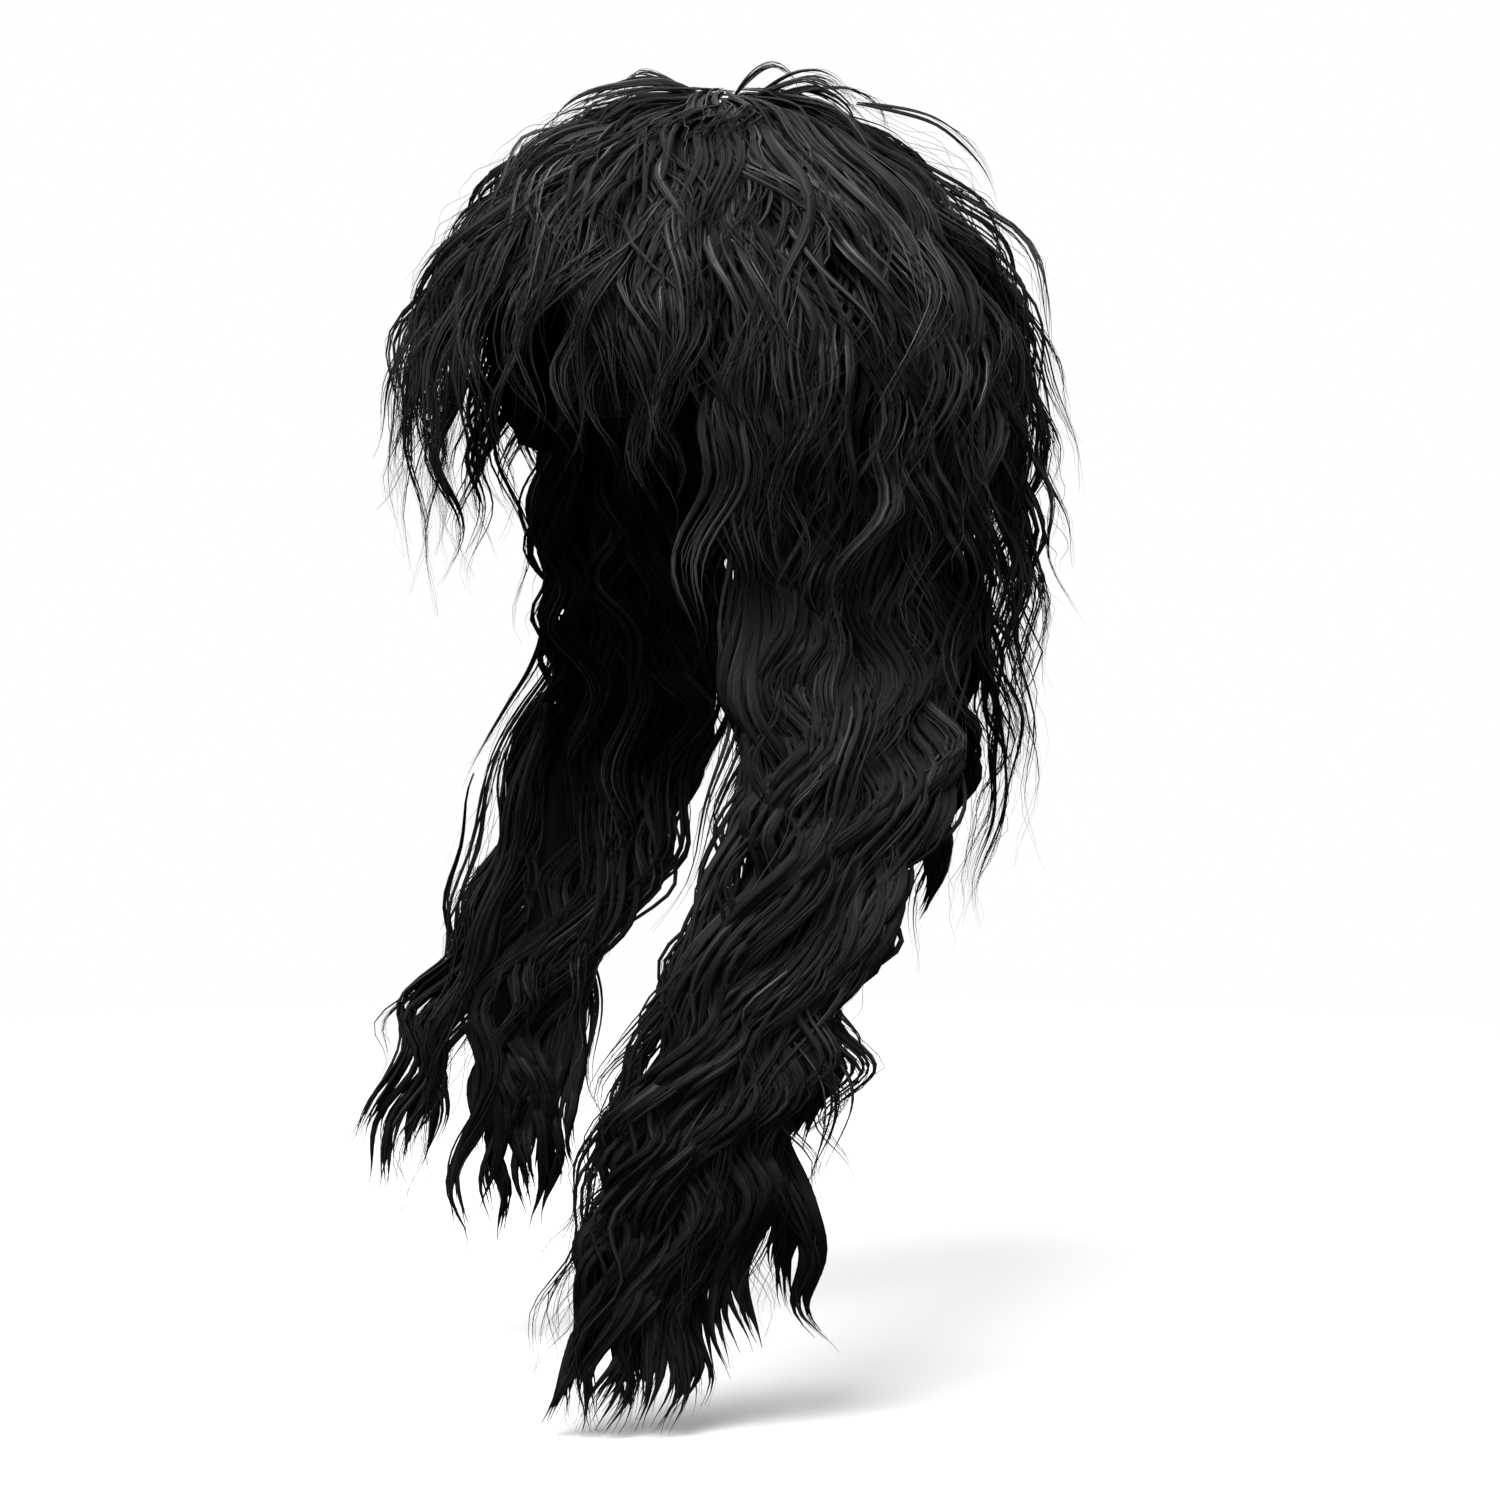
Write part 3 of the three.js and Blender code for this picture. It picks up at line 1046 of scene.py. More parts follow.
@dataclass(frozen=True)
class CrownHair(HeadHair):
    """The tousled crown: short locks that radiate from the top and overlap down to a ragged hem."""

    part: HairPart = HairPart.CROWN
    name: str = "crown"
    seed: int = 11
    count: int = 214
    rings: int = 16
    cut: LockCut = LockCut(
        tufts=8,
        strands=2,
        hair_rings=11,
        half_width=0.0074,
        half_depth=0.0034,
        tuft_half=0.0011,
        stray=0.35,
        open_tip=0.14,
        shortest=0.74,
        # Lighter locks on the crown: painted light where the top light falls.
        light=(0.0, 1.2),
    )
    golden: float = 137.508
    covered: float = 0.86
    widest: float = 0.91
    most_drift: float = 26.0
    lopsided: float = 0.04
    packed_lift: float = 0.45
    packed_inside: float = 0.05
    brow_hem: float = 0.56
    longer_hem: float = 0.56
    packed_rows: int = 20
    packed_around: int = 120

    def shell(self, rng: Rng) -> ShellLocks:
        """Roots by the golden angle, higher over the face than at the back, and drawn in at the top.

        Args:
            rng: The source of random numbers.

        Returns:
            The locks' courses.
        """
        index = np.arange(self.count)
        uniform = partial(rng.uniform, size=self.count)
        normal = partial(rng.normal, size=self.count)
        angle = (index * self.golden + normal(0.0, 4.0)) % 360.0
        front = np.abs((angle + 180.0) % 360.0 - 180.0)
        lowest = 0.42 + 0.36 * ease(front, 30.0, 95.0)
        even = np.arccos(1.0 - self.covered * (index + 0.5) / self.count) / (np.pi / 2.0)
        start = self.head.arc * even * lowest / self.widest
        start = start * (0.4 + 0.6 * ease(even, 0.0, 0.34))
        low_top = 0.65 + 0.35 * ease(start, 0.0, 0.07)
        return ShellLocks(
            angle=angle,
            start=start,
            length=uniform(0.08, 0.14) * (1.0 - 0.2 * ease(start, 0.08, 0.15)),
            root_lift=uniform(0.35, 0.5),
            full_lift=uniform(0.54, 0.9) * low_top + self.lean(angle),
            flick=normal(0.05, 0.18),
            drift=np.clip(normal(0.0, 22.0), -self.most_drift, self.most_drift),
            wave=uniform(0.004, 0.0105),
            wave_length=uniform(0.06, 0.11),
            phase=uniform(0.0, TURN),
            arch=uniform(0.0, 0.12),
        )

    def lean(self, angle: Array) -> Array:
        """More lift towards the wearer's right front and less opposite, as a cosine."""
        return self.lopsided * np.cos(np.radians(angle + 45.0))

    def packed(self, material: Material) -> None:
        """A dark shell of packed hair between the cap and the locks, ridged down from the top.

        Its lift is a mean, eased in from half of it at the top, plus two sine waves round the head for
        the ridges. Its hem is high over the face and low at the sides and the back.

        Args:
            material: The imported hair's material.
        """
        angle = np.linspace(-180.0, 180.0, self.packed_around, endpoint=False)
        hem = self.brow_hem + self.longer_hem * ease(np.abs(angle), 35.0, 80.0)
        hem = hem + 0.025 * np.sin(np.radians(17.0 * angle))
        share = np.linspace(0.0, 1.0, self.packed_rows + 1)[1:, None]
        drop = hem * share
        turn = np.radians(angle)
        ridges = 0.05 * np.sin(23.0 * turn + 5.0 * drop) + 0.04 * np.sin(41.0 * turn - 7.0 * drop)
        mean = self.packed_lift * (0.5 + 0.5 * ease(drop, 0.05, 0.5))
        lift = mean + 0.5 * self.lean(angle) * share
        lift = lift + ridges * ease(share, 0.05, 0.4) - 0.2 * ease(share, 0.8, 1.0)
        spread = np.broadcast_to(angle, drop.shape)
        outside = self.head.point(spread, drop, lift)
        inside = self.head.point(spread, drop, np.full_like(drop, self.packed_inside))
        poles = np.zeros((2, 3))
        tops = np.array([0.5 * self.packed_lift, self.packed_inside])
        poles[:, 2] = self.head.base + tops * self.head.rise
        made = closed_shell("crown_packed", outside, inside, poles)
        Piece.finish(made, material, HAIR_SLOT, self.part.nodes())


@dataclass(frozen=True)
class FringeHair(HeadHair):
    """The fringe: locks over the brow, dense on the wearer's right and parted over the left eye."""

    part: HairPart = HairPart.FRINGE
    name: str = "fringe"
    seed: int = 23
    count: int = 64
    rings: int = 18
    cut: LockCut = LockCut(
        tufts=6, strands=5, hair_rings=15, half_width=0.005, tuft_half=0.0011, open_tip=0.15
    )
    right: int = 36
    short: int = 10

    def shell(self, rng: Rng) -> ShellLocks:
        """Roots behind the brow, with tips at brow to cheek height, and few of them at the parting.

        Args:
            rng: The source of random numbers.

        Returns:
            The locks' courses.
        """
        uniform = partial(rng.uniform, size=self.count)
        normal = partial(rng.normal, size=self.count)
        right = rng.uniform(-76.0, 4.0, self.right)
        left = rng.uniform(26.0, 62.0, self.count - self.right - self.short)
        angle = np.concatenate([right, left, np.linspace(1.0, 28.0, self.short)])
        start = uniform(0.06, 0.105)
        tip = uniform(0.198, 0.23) + 0.045 * ease(angle, 40.0, 56.0)
        tip = tip + 0.04 * ease(-angle, 14.0, 30.0) * rng.random(self.count)
        start[-self.short:] -= 0.02
        tip[-self.short:] -= 0.052
        return ShellLocks(
            angle=angle,
            start=start,
            length=tip - start,
            root_lift=uniform(0.3, 0.5),
            full_lift=uniform(0.6, 0.98),
            flick=normal(0.0, 0.16),
            drift=normal(0.0, 6.0),
            wave=uniform(0.002, 0.0055),
            wave_length=uniform(0.045, 0.07),
            phase=uniform(0.0, TURN),
            arch=uniform(0.0, 0.08),
        )


@dataclass(frozen=True)
class MiddleHair(HeadHair):
    """The middle layer: locks from under the crown's hem, round the sides and the back."""

    part: HairPart = HairPart.MIDDLE
    name: str = "middle"
    seed: int = 37
    count: int = 92
    rings: int = 19
    cut: LockCut = LockCut(
        tufts=6,
        strands=3,
        hair_rings=15,
        half_width=0.0064,
        tuft_half=0.0013,
        open_tip=0.16,
        shortest=0.74,
        # Lighter locks: painted light on the middle layer, above the darker falls.
        light=(0.0, 1.05),
    )
    first: float = 50.0
    last: float = 304.0
    longer: float = 0.13

    def shell(self, rng: Rng) -> ShellLocks:
        """Roots on the lower head, and tips from ear to jaw height, or lower beside the back.

        Args:
            rng: The source of random numbers.

        Returns:
            The locks' courses.
        """
        uniform = partial(rng.uniform, size=self.count)
        normal = partial(rng.normal, size=self.count)
        angle = np.linspace(self.first, self.last, self.count) + normal(0.0, 4.0)
        aside = np.abs(angle - 180.0)
        longer = self.longer * ease(aside, 15.0, 40.0) * (1.0 - ease(aside, 65.0, 85.0))
        return ShellLocks(
            angle=angle,
            start=uniform(0.1, 0.185),
            length=uniform(0.09, 0.15) + longer * uniform(0.45, 1.0),
            root_lift=uniform(0.3, 0.5),
            full_lift=uniform(0.46, 0.8),
            flick=normal(0.05, 0.16),
            drift=normal(0.0, 9.0),
            wave=uniform(0.004, 0.0085),
            wave_length=uniform(0.045, 0.075),
            phase=uniform(0.0, TURN),
            arch=np.zeros(self.count),
        )


@dataclass(frozen=True)
class FallSheet:
    """A fall's CAD locks read as one thick sheet: a middle line and a depth for each, by height."""

    heights: Array
    middle: Array
    depth: Array
    tips: Array

    @classmethod
    def of_part(cls, part: HairPart, steps: int = 64, smooth: int = 5) -> "FallSheet":
        """Reads each node's level rings: their centres with a running mean, and their depth outwards.

        Args:
            part: The fall.
            steps: Heights to read at.
            smooth: Rings in the running mean, which levels out the waves of the solids.

        Returns:
            The sheet.
        """
        stacks = [cls.stack(node) for node in part.nodes()]
        top = max(stack[-1, 0, 2] for stack in stacks)
        tips = np.array([stack[0, 0, 2] for stack in stacks])
        heights = np.linspace(tips.min(), top, steps)
        middle, depth = [], []
        for stack in stacks:
            centre = stack.mean(axis=1)
            out = unit(centre[:, None, :2])
            thick = np.abs(((stack - centre[:, None])[..., :2] * out).sum(axis=2)).max(axis=1)
            thick = np.maximum(thick, 0.75 * np.median(thick))
            padded = np.pad(centre[:, :2], ((smooth // 2, smooth // 2), (0, 0)), mode="edge")
            mean = np.stack([padded[k:k + len(centre)] for k in range(smooth)]).mean(axis=0)
            line = [np.interp(heights, centre[:, 2], mean[:, axis]) for axis in (0, 1)]
            middle.append(np.stack(line, axis=1))
            depth.append(np.interp(heights, centre[:, 2], thick))
        return cls(heights, np.array(middle), np.array(depth), tips)

    @staticmethod
    def stack(node: str) -> Array:
        """A node's points by level ring, from the tip up.

        Args:
            node: The CAD node.

        Returns:
            Places, by ring and point.
        """
        points = np.unique(np.round(node_points(node), 5), axis=0)
        levels, sizes = np.unique(points[:, 2], return_counts=True)
        around = np.bincount(sizes).argmax()
        return np.array([points[points[:, 2] == level] for level in levels[sizes == around]])

    def lines(self, u: Array, v: Array, height: Array) -> Locks:
        """Places in the sheet, with the level directions along it and out of it.

        Args:
            u: How far across the sheet, from 0 at its first lock to 1 at its last.
            v: How far through it, from -1 inside to 1 outside.
            height: How high.

        Returns:
            Places, with the directions across and out.
        """
        last = len(self.middle) - 1
        low = np.clip((u * last).astype(int), 0, last - 1)
        part = (u * last - low)[..., None]
        every = np.stack([
            np.stack([np.interp(height, self.heights, line[:, axis]) for axis in (0, 1)], -1)
            for line in self.middle
        ])
        depth = np.stack([np.interp(height, self.heights, line) for line in self.depth])
        spot = np.indices(low.shape)
        first, second = every[(low, *spot)], every[(low + 1, *spot)]
        flat = first + (second - first) * part
        thick = depth[(low, *spot)] * (1.0 - part[..., 0]) + depth[(low + 1, *spot)] * part[..., 0]
        across = unit(second - first)
        out = np.stack([across[..., 1], -across[..., 0]], axis=-1)
        out = out * np.sign((out * flat).sum(axis=-1, keepdims=True))
        flat = flat + out * (thick * v)[..., None]
        level = np.zeros_like(height)
        return Locks(*(
            np.concatenate([part, third[..., None]], axis=-1)
            for part, third in ((flat, height), (across, level), (out, level))
        ))

    def tip(self, u: Array) -> Array:
        """The lowest height at a place across the sheet, in proportion between the CAD locks' tips."""
        return np.interp(u, np.linspace(0.0, 1.0, len(self.tips)), self.tips)


FINE_CUT = LockCut(
    tufts=1, strands=1, hair_rings=18, strand_half=0.00014, frizz=0.001, stray=0.0, shortest=0.6
)
WISP_CUT = LockCut(
    tufts=3,
    strands=3,
    hair_rings=28,
    half_width=0.0024,
    tuft_half=0.0009,
    taper_from=0.5,
    shortest=0.85,
    # Darker than the crown: painted shade on the falls' wisps.
    light=(0.0, 0.5),
)
LAYER_CUT = LockCut(
    tufts=6,
    strands=2,
    hair_rings=22,
    half_width=0.0054,
    half_depth=0.003,
    tuft_half=0.0011,
    taper_from=0.45,
    open_tip=0.12,
    shortest=0.8,
    # Lighter than the long locks beneath: painted highlights on the falls' outer layer.
    light=(0.0, 0.8),
)
LONG_CUT = LockCut(
    tufts=5,
    strands=2,
    hair_rings=40,
    half_width=0.0054,
    tuft_half=0.0014,
    taper_from=0.9,
    open_tip=0.34,
    shortest=0.95,
    # Near black: painted shade on the long locks deep in the falls.
    light=(0.0, 0.2),
)


@dataclass(frozen=True)
class Waves:
    """The waves of a fall at even places across it: sizes, lengths, phases, slow phases and skews."""

    size: Array
    length: Array
    phase: Array
    slow: Array
    skew: Array

    @classmethod
    def drawn(cls, rng: Rng, many: int, size: Span, length: Span) -> "Waves":
        """Draws a wave for each place. Phases and skews are random walks, so that neighbours are alike.

        Args:
            rng: The source of random numbers.
            many: How many places.
            size: The smallest and the largest size.
            length: The shortest and the longest wave.

        Returns:
            The waves.
        """
        return cls(
            rng.uniform(*size, many),
            rng.uniform(*length, many),
            rng.uniform(0.0, TURN) + np.cumsum(rng.normal(0.0, 1.8, many)),
            rng.uniform(0.0, TURN, many),
            rng.uniform(0.0, TURN) + np.cumsum(rng.normal(0.0, 1.2, many)),
        )

    def sway(
        self, even: Array, height: Array, own: Array, out: float = 0.6, slow_length: float = 0.14
    ) -> tuple[Array, Array]:
        """How far locks stand aside and out: a sine of height, and a skewed cosine, that drift slowly.

        Each wave is read between those of the places on either side.

        Args:
            even: Even places across the fall, as a column.
            height: Heights, by lock and ring.
            own: Each lock's own phase, as a column.
            out: Size outwards for one aside.
            slow_length: Length of the sine by which the phase drifts.

        Returns:
            Distances aside and outwards, by lock and ring.
        """
        places = np.linspace(0.0, 1.0, len(self.size))
        drawn = (self.size, self.length, self.phase, self.slow, self.skew)
        size, length, phase, slow, skew = (np.interp(even, places, row) for row in drawn)
        swing = TURN * height / length + phase + own
        swing = swing + np.sin(TURN * height / slow_length + slow)
        return size * np.sin(swing), out * size * np.cos(swing + skew)


@dataclass(frozen=True)
class LongFall:
    """One fall of long, waving locks that follow the sheet of its CAD locks."""

    part: HairPart
    name: str
    seed: int
    count: int
    rings: int
    layers: int
    inner: float
    cut: LockCut = LONG_CUT
    layer_cut: LockCut = LAYER_CUT
    layer_rings: int = 28
    layer_length: Span = (0.09, 0.17)
    layer_above: Span = (0.01, 0.06)
    clump: int = 3
    gather: Span = (0.1, 1.0)
    gather_from: float = 0.55
    gather_across: float = 0.9
    gather_through: float = 0.6
    short: float = 0.1
    short_reach: Span = (0.62, 0.86)
    most_reach: float = 1.03
    ragged: float = 0.04
    uneven: float = 0.07
    extend: tuple[float, ...] = (0.0, 0.0)
    squeeze: float = 0.0
    first_flick: float = 0.0
    last_flick: float = 0.0
    shift: float = 0.0
    inset: Span = (0.03, 0.03)
    wave: Span = (0.004, 0.0078)
    wave_length: Span = (0.047, 0.057)
    patches: int = 7
    waves_from: float = 0.08
    full_waves: float = 0.2
    calm_tip: float = 0.55
    core: float = 0.84
    loose: int = 70
    wisps: int = 12
    strays_from: float = -0.13
    loose_length: Span = (0.04, 0.11)
    loose_rings: int = 14
    wisp_length: Span = (0.1, 0.2)
    wisp_rings: int = 30
    wisp_far: float = 0.018
    tip_seed: int = 300

    def within(self, even: Array) -> Array:
        """Places across the sheet for even ones from 0 to 1, between the two insets."""
        return self.inset[0] + (1.0 - self.inset[0] - self.inset[1]) * even

    def lowest(self, sheet: FallSheet, even: Array) -> Array:
        """Heights of the tips at even places: the sheet's, less amounts read between those given."""
        more = np.interp(even, np.linspace(0.0, 1.0, len(self.extend)), self.extend)
        return np.maximum(sheet.tip(self.within(even)) - more, CAD_BOX[0].z)

    def drawn_in(self, u: Array, height: Array) -> Array:
        """Places across the sheet, squeezed towards its middle below the jaw by an eased share."""
        return u + (0.5 - u) * self.squeeze * ease(-height, 0.2, 0.28)

    def flick(self, even: Array) -> Array:
        """How far the tips at an even place turn aside: eased up towards both ends of the fall."""
        first = self.first_flick * ease(0.4 - even, 0.0, 0.4)
        return first + self.last_flick * ease(even, 0.6, 1.0)

    def bulge(self, height: Array) -> Array:
        """How far the fall swings aside at a height: eased up below the jaw, and away lower down."""
        return self.shift * ease(-height, 0.17, 0.26) * (1.0 - ease(-height, 0.28, 0.36))

    def overlay(self, sheet: FallSheet, waves: Waves, rng: Rng) -> Locks:
        """Shorter locks over the long ones, at all heights, which give the fall its layers of tips.

        Each leaves the middle of the sheet and eases out to one of its faces. It sways with the clump
        that it lies over, and its tip turns aside with the cube of the share.

        Args:
            sheet: The fall's sheet.
            waves: The fall's waves.
            rng: The source of random numbers.

        Returns:
            The locks' lines.
        """
        count = self.layers

        def column(low: float, high: float) -> Array:
            """A number from low to high for each lock."""
            return rng.uniform(low, high, (count, 1))

        share = np.linspace(0.0, 1.0, self.layer_rings)
        even = ((np.arange(count) * GOLDEN_SHARE + rng.uniform(0.0, 0.05, count)) % 1.0)[:, None]
        spot = self.within(even)
        length = column(*self.layer_length)
        low = self.lowest(sheet, even) + column(*self.layer_above)
        top = low + length + (sheet.heights[-1] - low - length) * column(0.0, 1.0)
        height = top - length * share
        face = np.where(column(0.0, 1.0) < self.inner, -1.0, 1.0)
        v = face * (0.2 + (column(0.7, 1.1) - 0.2) * ease(share, 0.0, 0.4))
        down = ease((sheet.heights[-1] - height) / (sheet.heights[-1] - low), 0.6, 1.0)
        aside = self.flick(even) * down + self.bulge(height)
        edge = 0.006 * (ease(even, 0.85, 1.0) - ease(0.15 - even, 0.0, 0.15))
        aside = aside + (edge + rng.normal(0.0, 0.006, (count, 1))) * share**3
        grow = ease(share, 0.0, 0.2) * (1.0 - 0.4 * ease(share, 0.8, 1.0))
        sway, push = waves.sway(even, height, rng.normal(0.0, 0.7, (count, 1)))
        line = sheet.lines(self.drawn_in(spot, height), v, height)
        return line.moved(aside + grow * sway, grow * push)

    def locks(self, sheet: FallSheet, waves: Waves, rng: Rng) -> Locks:
        """Locks at places across and through the sheet, each down to its own tip.

        Most reach nearly to the sheet's tip, each a little short of it by its own amount, and some
        clumps end well above it. Towards the tip, neighbours draw together in clumps, some of them more
        than others, and those at the sheet's ends flick outwards with the fourth power of the way down.
        The fall's waves sway them, less at the tip.

        Args:
            sheet: The fall's sheet.
            waves: The fall's waves.
            rng: The source of random numbers.

        Returns:
            The locks' lines.
        """
        count = self.count
        share = np.linspace(0.0, 1.0, self.rings) ** 0.75
        even = (np.arange(count) + rng.uniform(0.2, 0.8, count)) / count
        spot = self.within(even)
        many = count // self.clump
        layers = 1.8 * np.sqrt(rng.random(many)) - 0.9
        deep = np.clip(layers.repeat(self.clump) + rng.normal(0.0, 0.14, count), -1.0, 1.0)
        short = rng.random(many) < self.short
        high = rng.uniform(*self.short_reach, many)
        full = rng.uniform(1.0 - self.ragged, self.most_reach, many)
        reach = np.where(short, high, full).repeat(self.clump) - rng.uniform(0.0, 0.02, count)
        ends = np.random.default_rng(self.seed + self.tip_seed)
        gather = ends.uniform(*self.gather, many).repeat(self.clump)[:, None]
        reach = reach - self.uneven * ends.random(count) ** 2

        def clumped(values: Array, much: float) -> Array:
            """Values that draw towards the mean of their clump along the lock."""
            mean = values.reshape(-1, self.clump).mean(axis=1).repeat(self.clump)
            drawn = much * gather * ease(share, self.gather_from, 1.0)
            return values[:, None] + (mean - values)[:, None] * drawn

        u, v = clumped(spot, self.gather_across), clumped(deep, self.gather_through)
        top = sheet.heights[-1] - rng.uniform(0.0, 0.03, count)
        lowest = self.lowest(sheet, even)
        floor = CAD_BOX[0].z + rng.uniform(0.0, 0.006, count)
        low = np.maximum(top + (lowest - top) * reach, floor)
        height = top[:, None] + (low - top)[:, None] * share
        down = (sheet.heights[-1] - height) / (sheet.heights[-1] - lowest[:, None])
        aside = self.flick(even)[:, None] * down**4 + self.bulge(height)
        grow = ease(-height, self.waves_from, self.full_waves)
        grow = grow * (1.0 - self.calm_tip * ease(share, 0.75, 1.0))
        sway, push = waves.sway(even[:, None], height, rng.normal(0.0, 0.3, (count, 1)))
        line = sheet.lines(self.drawn_in(u, height), v, height)
        return line.moved(aside + grow * sway, grow * push)

    def strays(
        self,
        sheet: FallSheet,
        rng: Rng,
        count: int,
        length: Span,
        rings: int,
        far: float = 0.011,
    ) -> Locks:
        """Courses that leave the fall's edges and its outer face, and curl away from it.

        Each starts on the sheet and hangs down, while its distance off the sheet grows with the square
        of the share, and a sine wave of its own sways it.

        Args:
            sheet: The fall's sheet.
            rng: The source of random numbers.
            count: How many.
            length: The shortest and the longest.
            rings: Points on each course.
            far: How far off the sheet the farthest tip stands.

        Returns:
            The courses.
        """
        column = partial(rng.uniform, size=(count, 1))
        share = np.linspace(0.0, 1.0, rings)
        edge = rng.integers(0, 3, (count, 1))
        u = self.within(np.choose(edge, [column(0.0, 0.06), column(0.0, 1.0), column(0.9, 0.96)]))
        away = np.choose(edge, [-1.0, column(-0.5, 0.5), 1.0]) * column(0.2, 1.0) * far
        v = np.where(edge == 1, 1.0, column(-0.6, 0.8))
        low = sheet.tip(u)
        reach = column(*length)
        top = np.maximum(low + (self.strays_from - low) * column(0.0, 1.0), low + reach)
        height = top - reach * share
        swing = TURN * reach * share / column(0.04, 0.07) + column(0.0, TURN)
        sway = column(0.002, 0.006) * np.sin(swing)
        spread = np.ones(rings)
        line = sheet.lines(u * spread, v * spread, height)
        return line.moved(away * share**2 + sway, column(-0.002, 0.008) * share**2)

    def packed(self, sheet: FallSheet, across: int = 14, levels: int = 30) -> Array:
        """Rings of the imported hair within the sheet: out along one face and back along the other.

        The faces are ridged by a sine across the sheet, and close to an edge towards the tips.

        Args:
            sheet: The fall's sheet.
            across: Points along each face.
            levels: Rings.

        Returns:
            Places, by ring and point.
        """
        share = np.linspace(0.02, self.core, levels)[:, None]
        row = np.linspace(0.14, 0.86, across)
        even = np.concatenate([row, row[::-1]])
        face = np.repeat([1.0, -1.0], across)
        ridge = 0.4 + 0.12 * np.sin(np.arange(2 * across) * 2.3)
        closing = 1.0 - 0.95 * ease(share, 0.35, self.core)
        top = sheet.heights[-1]
        height = top + (self.lowest(sheet, even) - top) * share
        narrow = 0.5 + (even - 0.5) * (1.0 - 0.6 * ease(share, 0.35, self.core))
        u = self.drawn_in(self.within(narrow), height)
        aside = self.flick(narrow) * share**4 + self.bulge(height)
        line = sheet.lines(u, face * ridge * closing, height)
        return line.moved(aside, np.zeros_like(aside)).centre

    def build(self, dresser: HairDresser, packed: Material) -> None:
        """The fall's locks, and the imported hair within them.

        Args:
            dresser: Makes the pieces.
            packed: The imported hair's material.
        """
        rng = np.random.default_rng(self.seed)
        sheet = FallSheet.of_part(self.part)
        waves = Waves.drawn(rng, self.patches, self.wave, self.wave_length)
        locks = self.cut.fibres(self.locks(sheet, waves, rng), rng)
        dresser.dress(self.name, locks, self.seed + 1, self.part)
        layers = self.layer_cut.fibres(self.overlay(sheet, waves, rng), rng)
        dresser.dress(f"{self.name}_layer", layers, self.seed + 4, self.part)
        made = lofted(f"{self.name}_packed", self.packed(sheet))
        Piece.finish(made, packed, HAIR_SLOT, self.part.nodes())
        lines = self.strays(sheet, rng, self.loose, self.loose_length, self.loose_rings)
        hairs = FINE_CUT.fibres(lines, rng)[1]
        dresser.piece(f"{self.name}_flyaways", hairs, HAIR_SECTION, self.seed + 2, self.part)
        lines = self.strays(
            sheet, rng, self.wisps, self.wisp_length, self.wisp_rings, self.wisp_far
        )
        wisps = WISP_CUT.fibres(lines, rng)
        dresser.dress(f"{self.name}_wisp", wisps, self.seed + 3, self.part)


FALLS = (
    LongFall(
        part=HairPart.LEFT,
        name="left_fall",
        seed=61,
        count=57,
        rings=62,
        layers=84,
        inner=0.25,
        ragged=0.02,
        uneven=0.03,
        extend=(0.034, 0.034, 0.034, 0.034, 0.022, -0.016, 0.034),
        squeeze=0.3,
        first_flick=-0.008,
        last_flick=0.055,
        inset=(0.0, 0.17),
        loose=120,
        wisps=24,
    ),
    LongFall(
        part=HairPart.RIGHT,
        name="right_fall",
        seed=67,
        count=39,
        rings=52,
        layers=60,
        inner=0.5,
        ragged=0.09,
        extend=(-0.012, 0.01, 0.03, 0.034, 0.045),
        first_flick=-0.036,
        shift=0.036,
        inset=(0.28, 0.0),
    ),
    LongFall(
        part=HairPart.BACK,
        name="back_fall",
        seed=71,
        count=27,
        rings=40,
        layers=46,
        inner=0.35,
        ragged=0.1,
        extend=(-0.01, -0.01, 0.0, 0.0),
        inset=(0.0, 0.0),
        patches=5,
    ),
)


def lofted(name: str, rings: Array) -> Object:
    """A closed tube through a stack of rings, with a fan over each end, mapped as it unrolls.

    Args:
        name: The piece's name.
        rings: Places, by ring and point round it.

    Returns:
        The new object.
    """
    levels, around = rings.shape[:2]
    points = np.concatenate([rings.reshape(-1, 3), rings[[0, -1]].mean(axis=1)])
    grid = np.arange(levels * around).reshape(levels, around)
    after = np.roll(grid, -1, axis=1)
    quads = np.stack([grid[:-1], grid[1:], after[1:], after[:-1]], -1).reshape(-1, 4)
    root = np.stack([np.full(around, grid.size), grid[0], after[0]], -1)
    tip = np.stack([np.full(around, grid.size + 1), after[-1], grid[-1]], -1)
    triangles = np.concatenate([root, tip])
    level, step = np.mgrid[:levels - 1, :around]
    u = np.stack([step, step, step + 1, step + 1], -1) / around
    v = np.stack([level, level + 1, level + 1, level], -1) / (levels - 1)
    margin = np.array([MAP_SIDE, MAP_END])
    side_map = (margin + (1.0 - 2.0 * margin) * np.stack([u, v], -1)).reshape(-1, 4, 2)
    part = (np.arange(around)[:, None] + np.array([0.5, 0.1, 0.9])) / around
    u = MAP_SIDE + (1.0 - 2.0 * MAP_SIDE) * part
    v = np.broadcast_to([FAN_END, 0.0, 0.0], u.shape)
    fan_map = np.concatenate([np.stack([u, v], -1), np.stack([u, 1.0 - v], -1)])
    order = slice(None) if signed_volume(points, quads) > 0.0 else slice(None, None, -1)
    return Piece.from_faces(
        name,
        points,
        quads[:, order],
        triangles[:, order],
        side_map[:, order].reshape(-1, 2),
        fan_map[:, order].reshape(-1, 2),
    )


def signed_volume(points: Array, quads: NDArray[np.int64]) -> float:
    """Six times the volume within quads, by the divergence theorem: positive if they face outwards."""
    a, b, c, d = (points[quads[:, k]] for k in range(4))
    return float(np.einsum("ij,ij->", a, np.cross(b, c)) + np.einsum("ij,ij->", a, np.cross(c, d)))


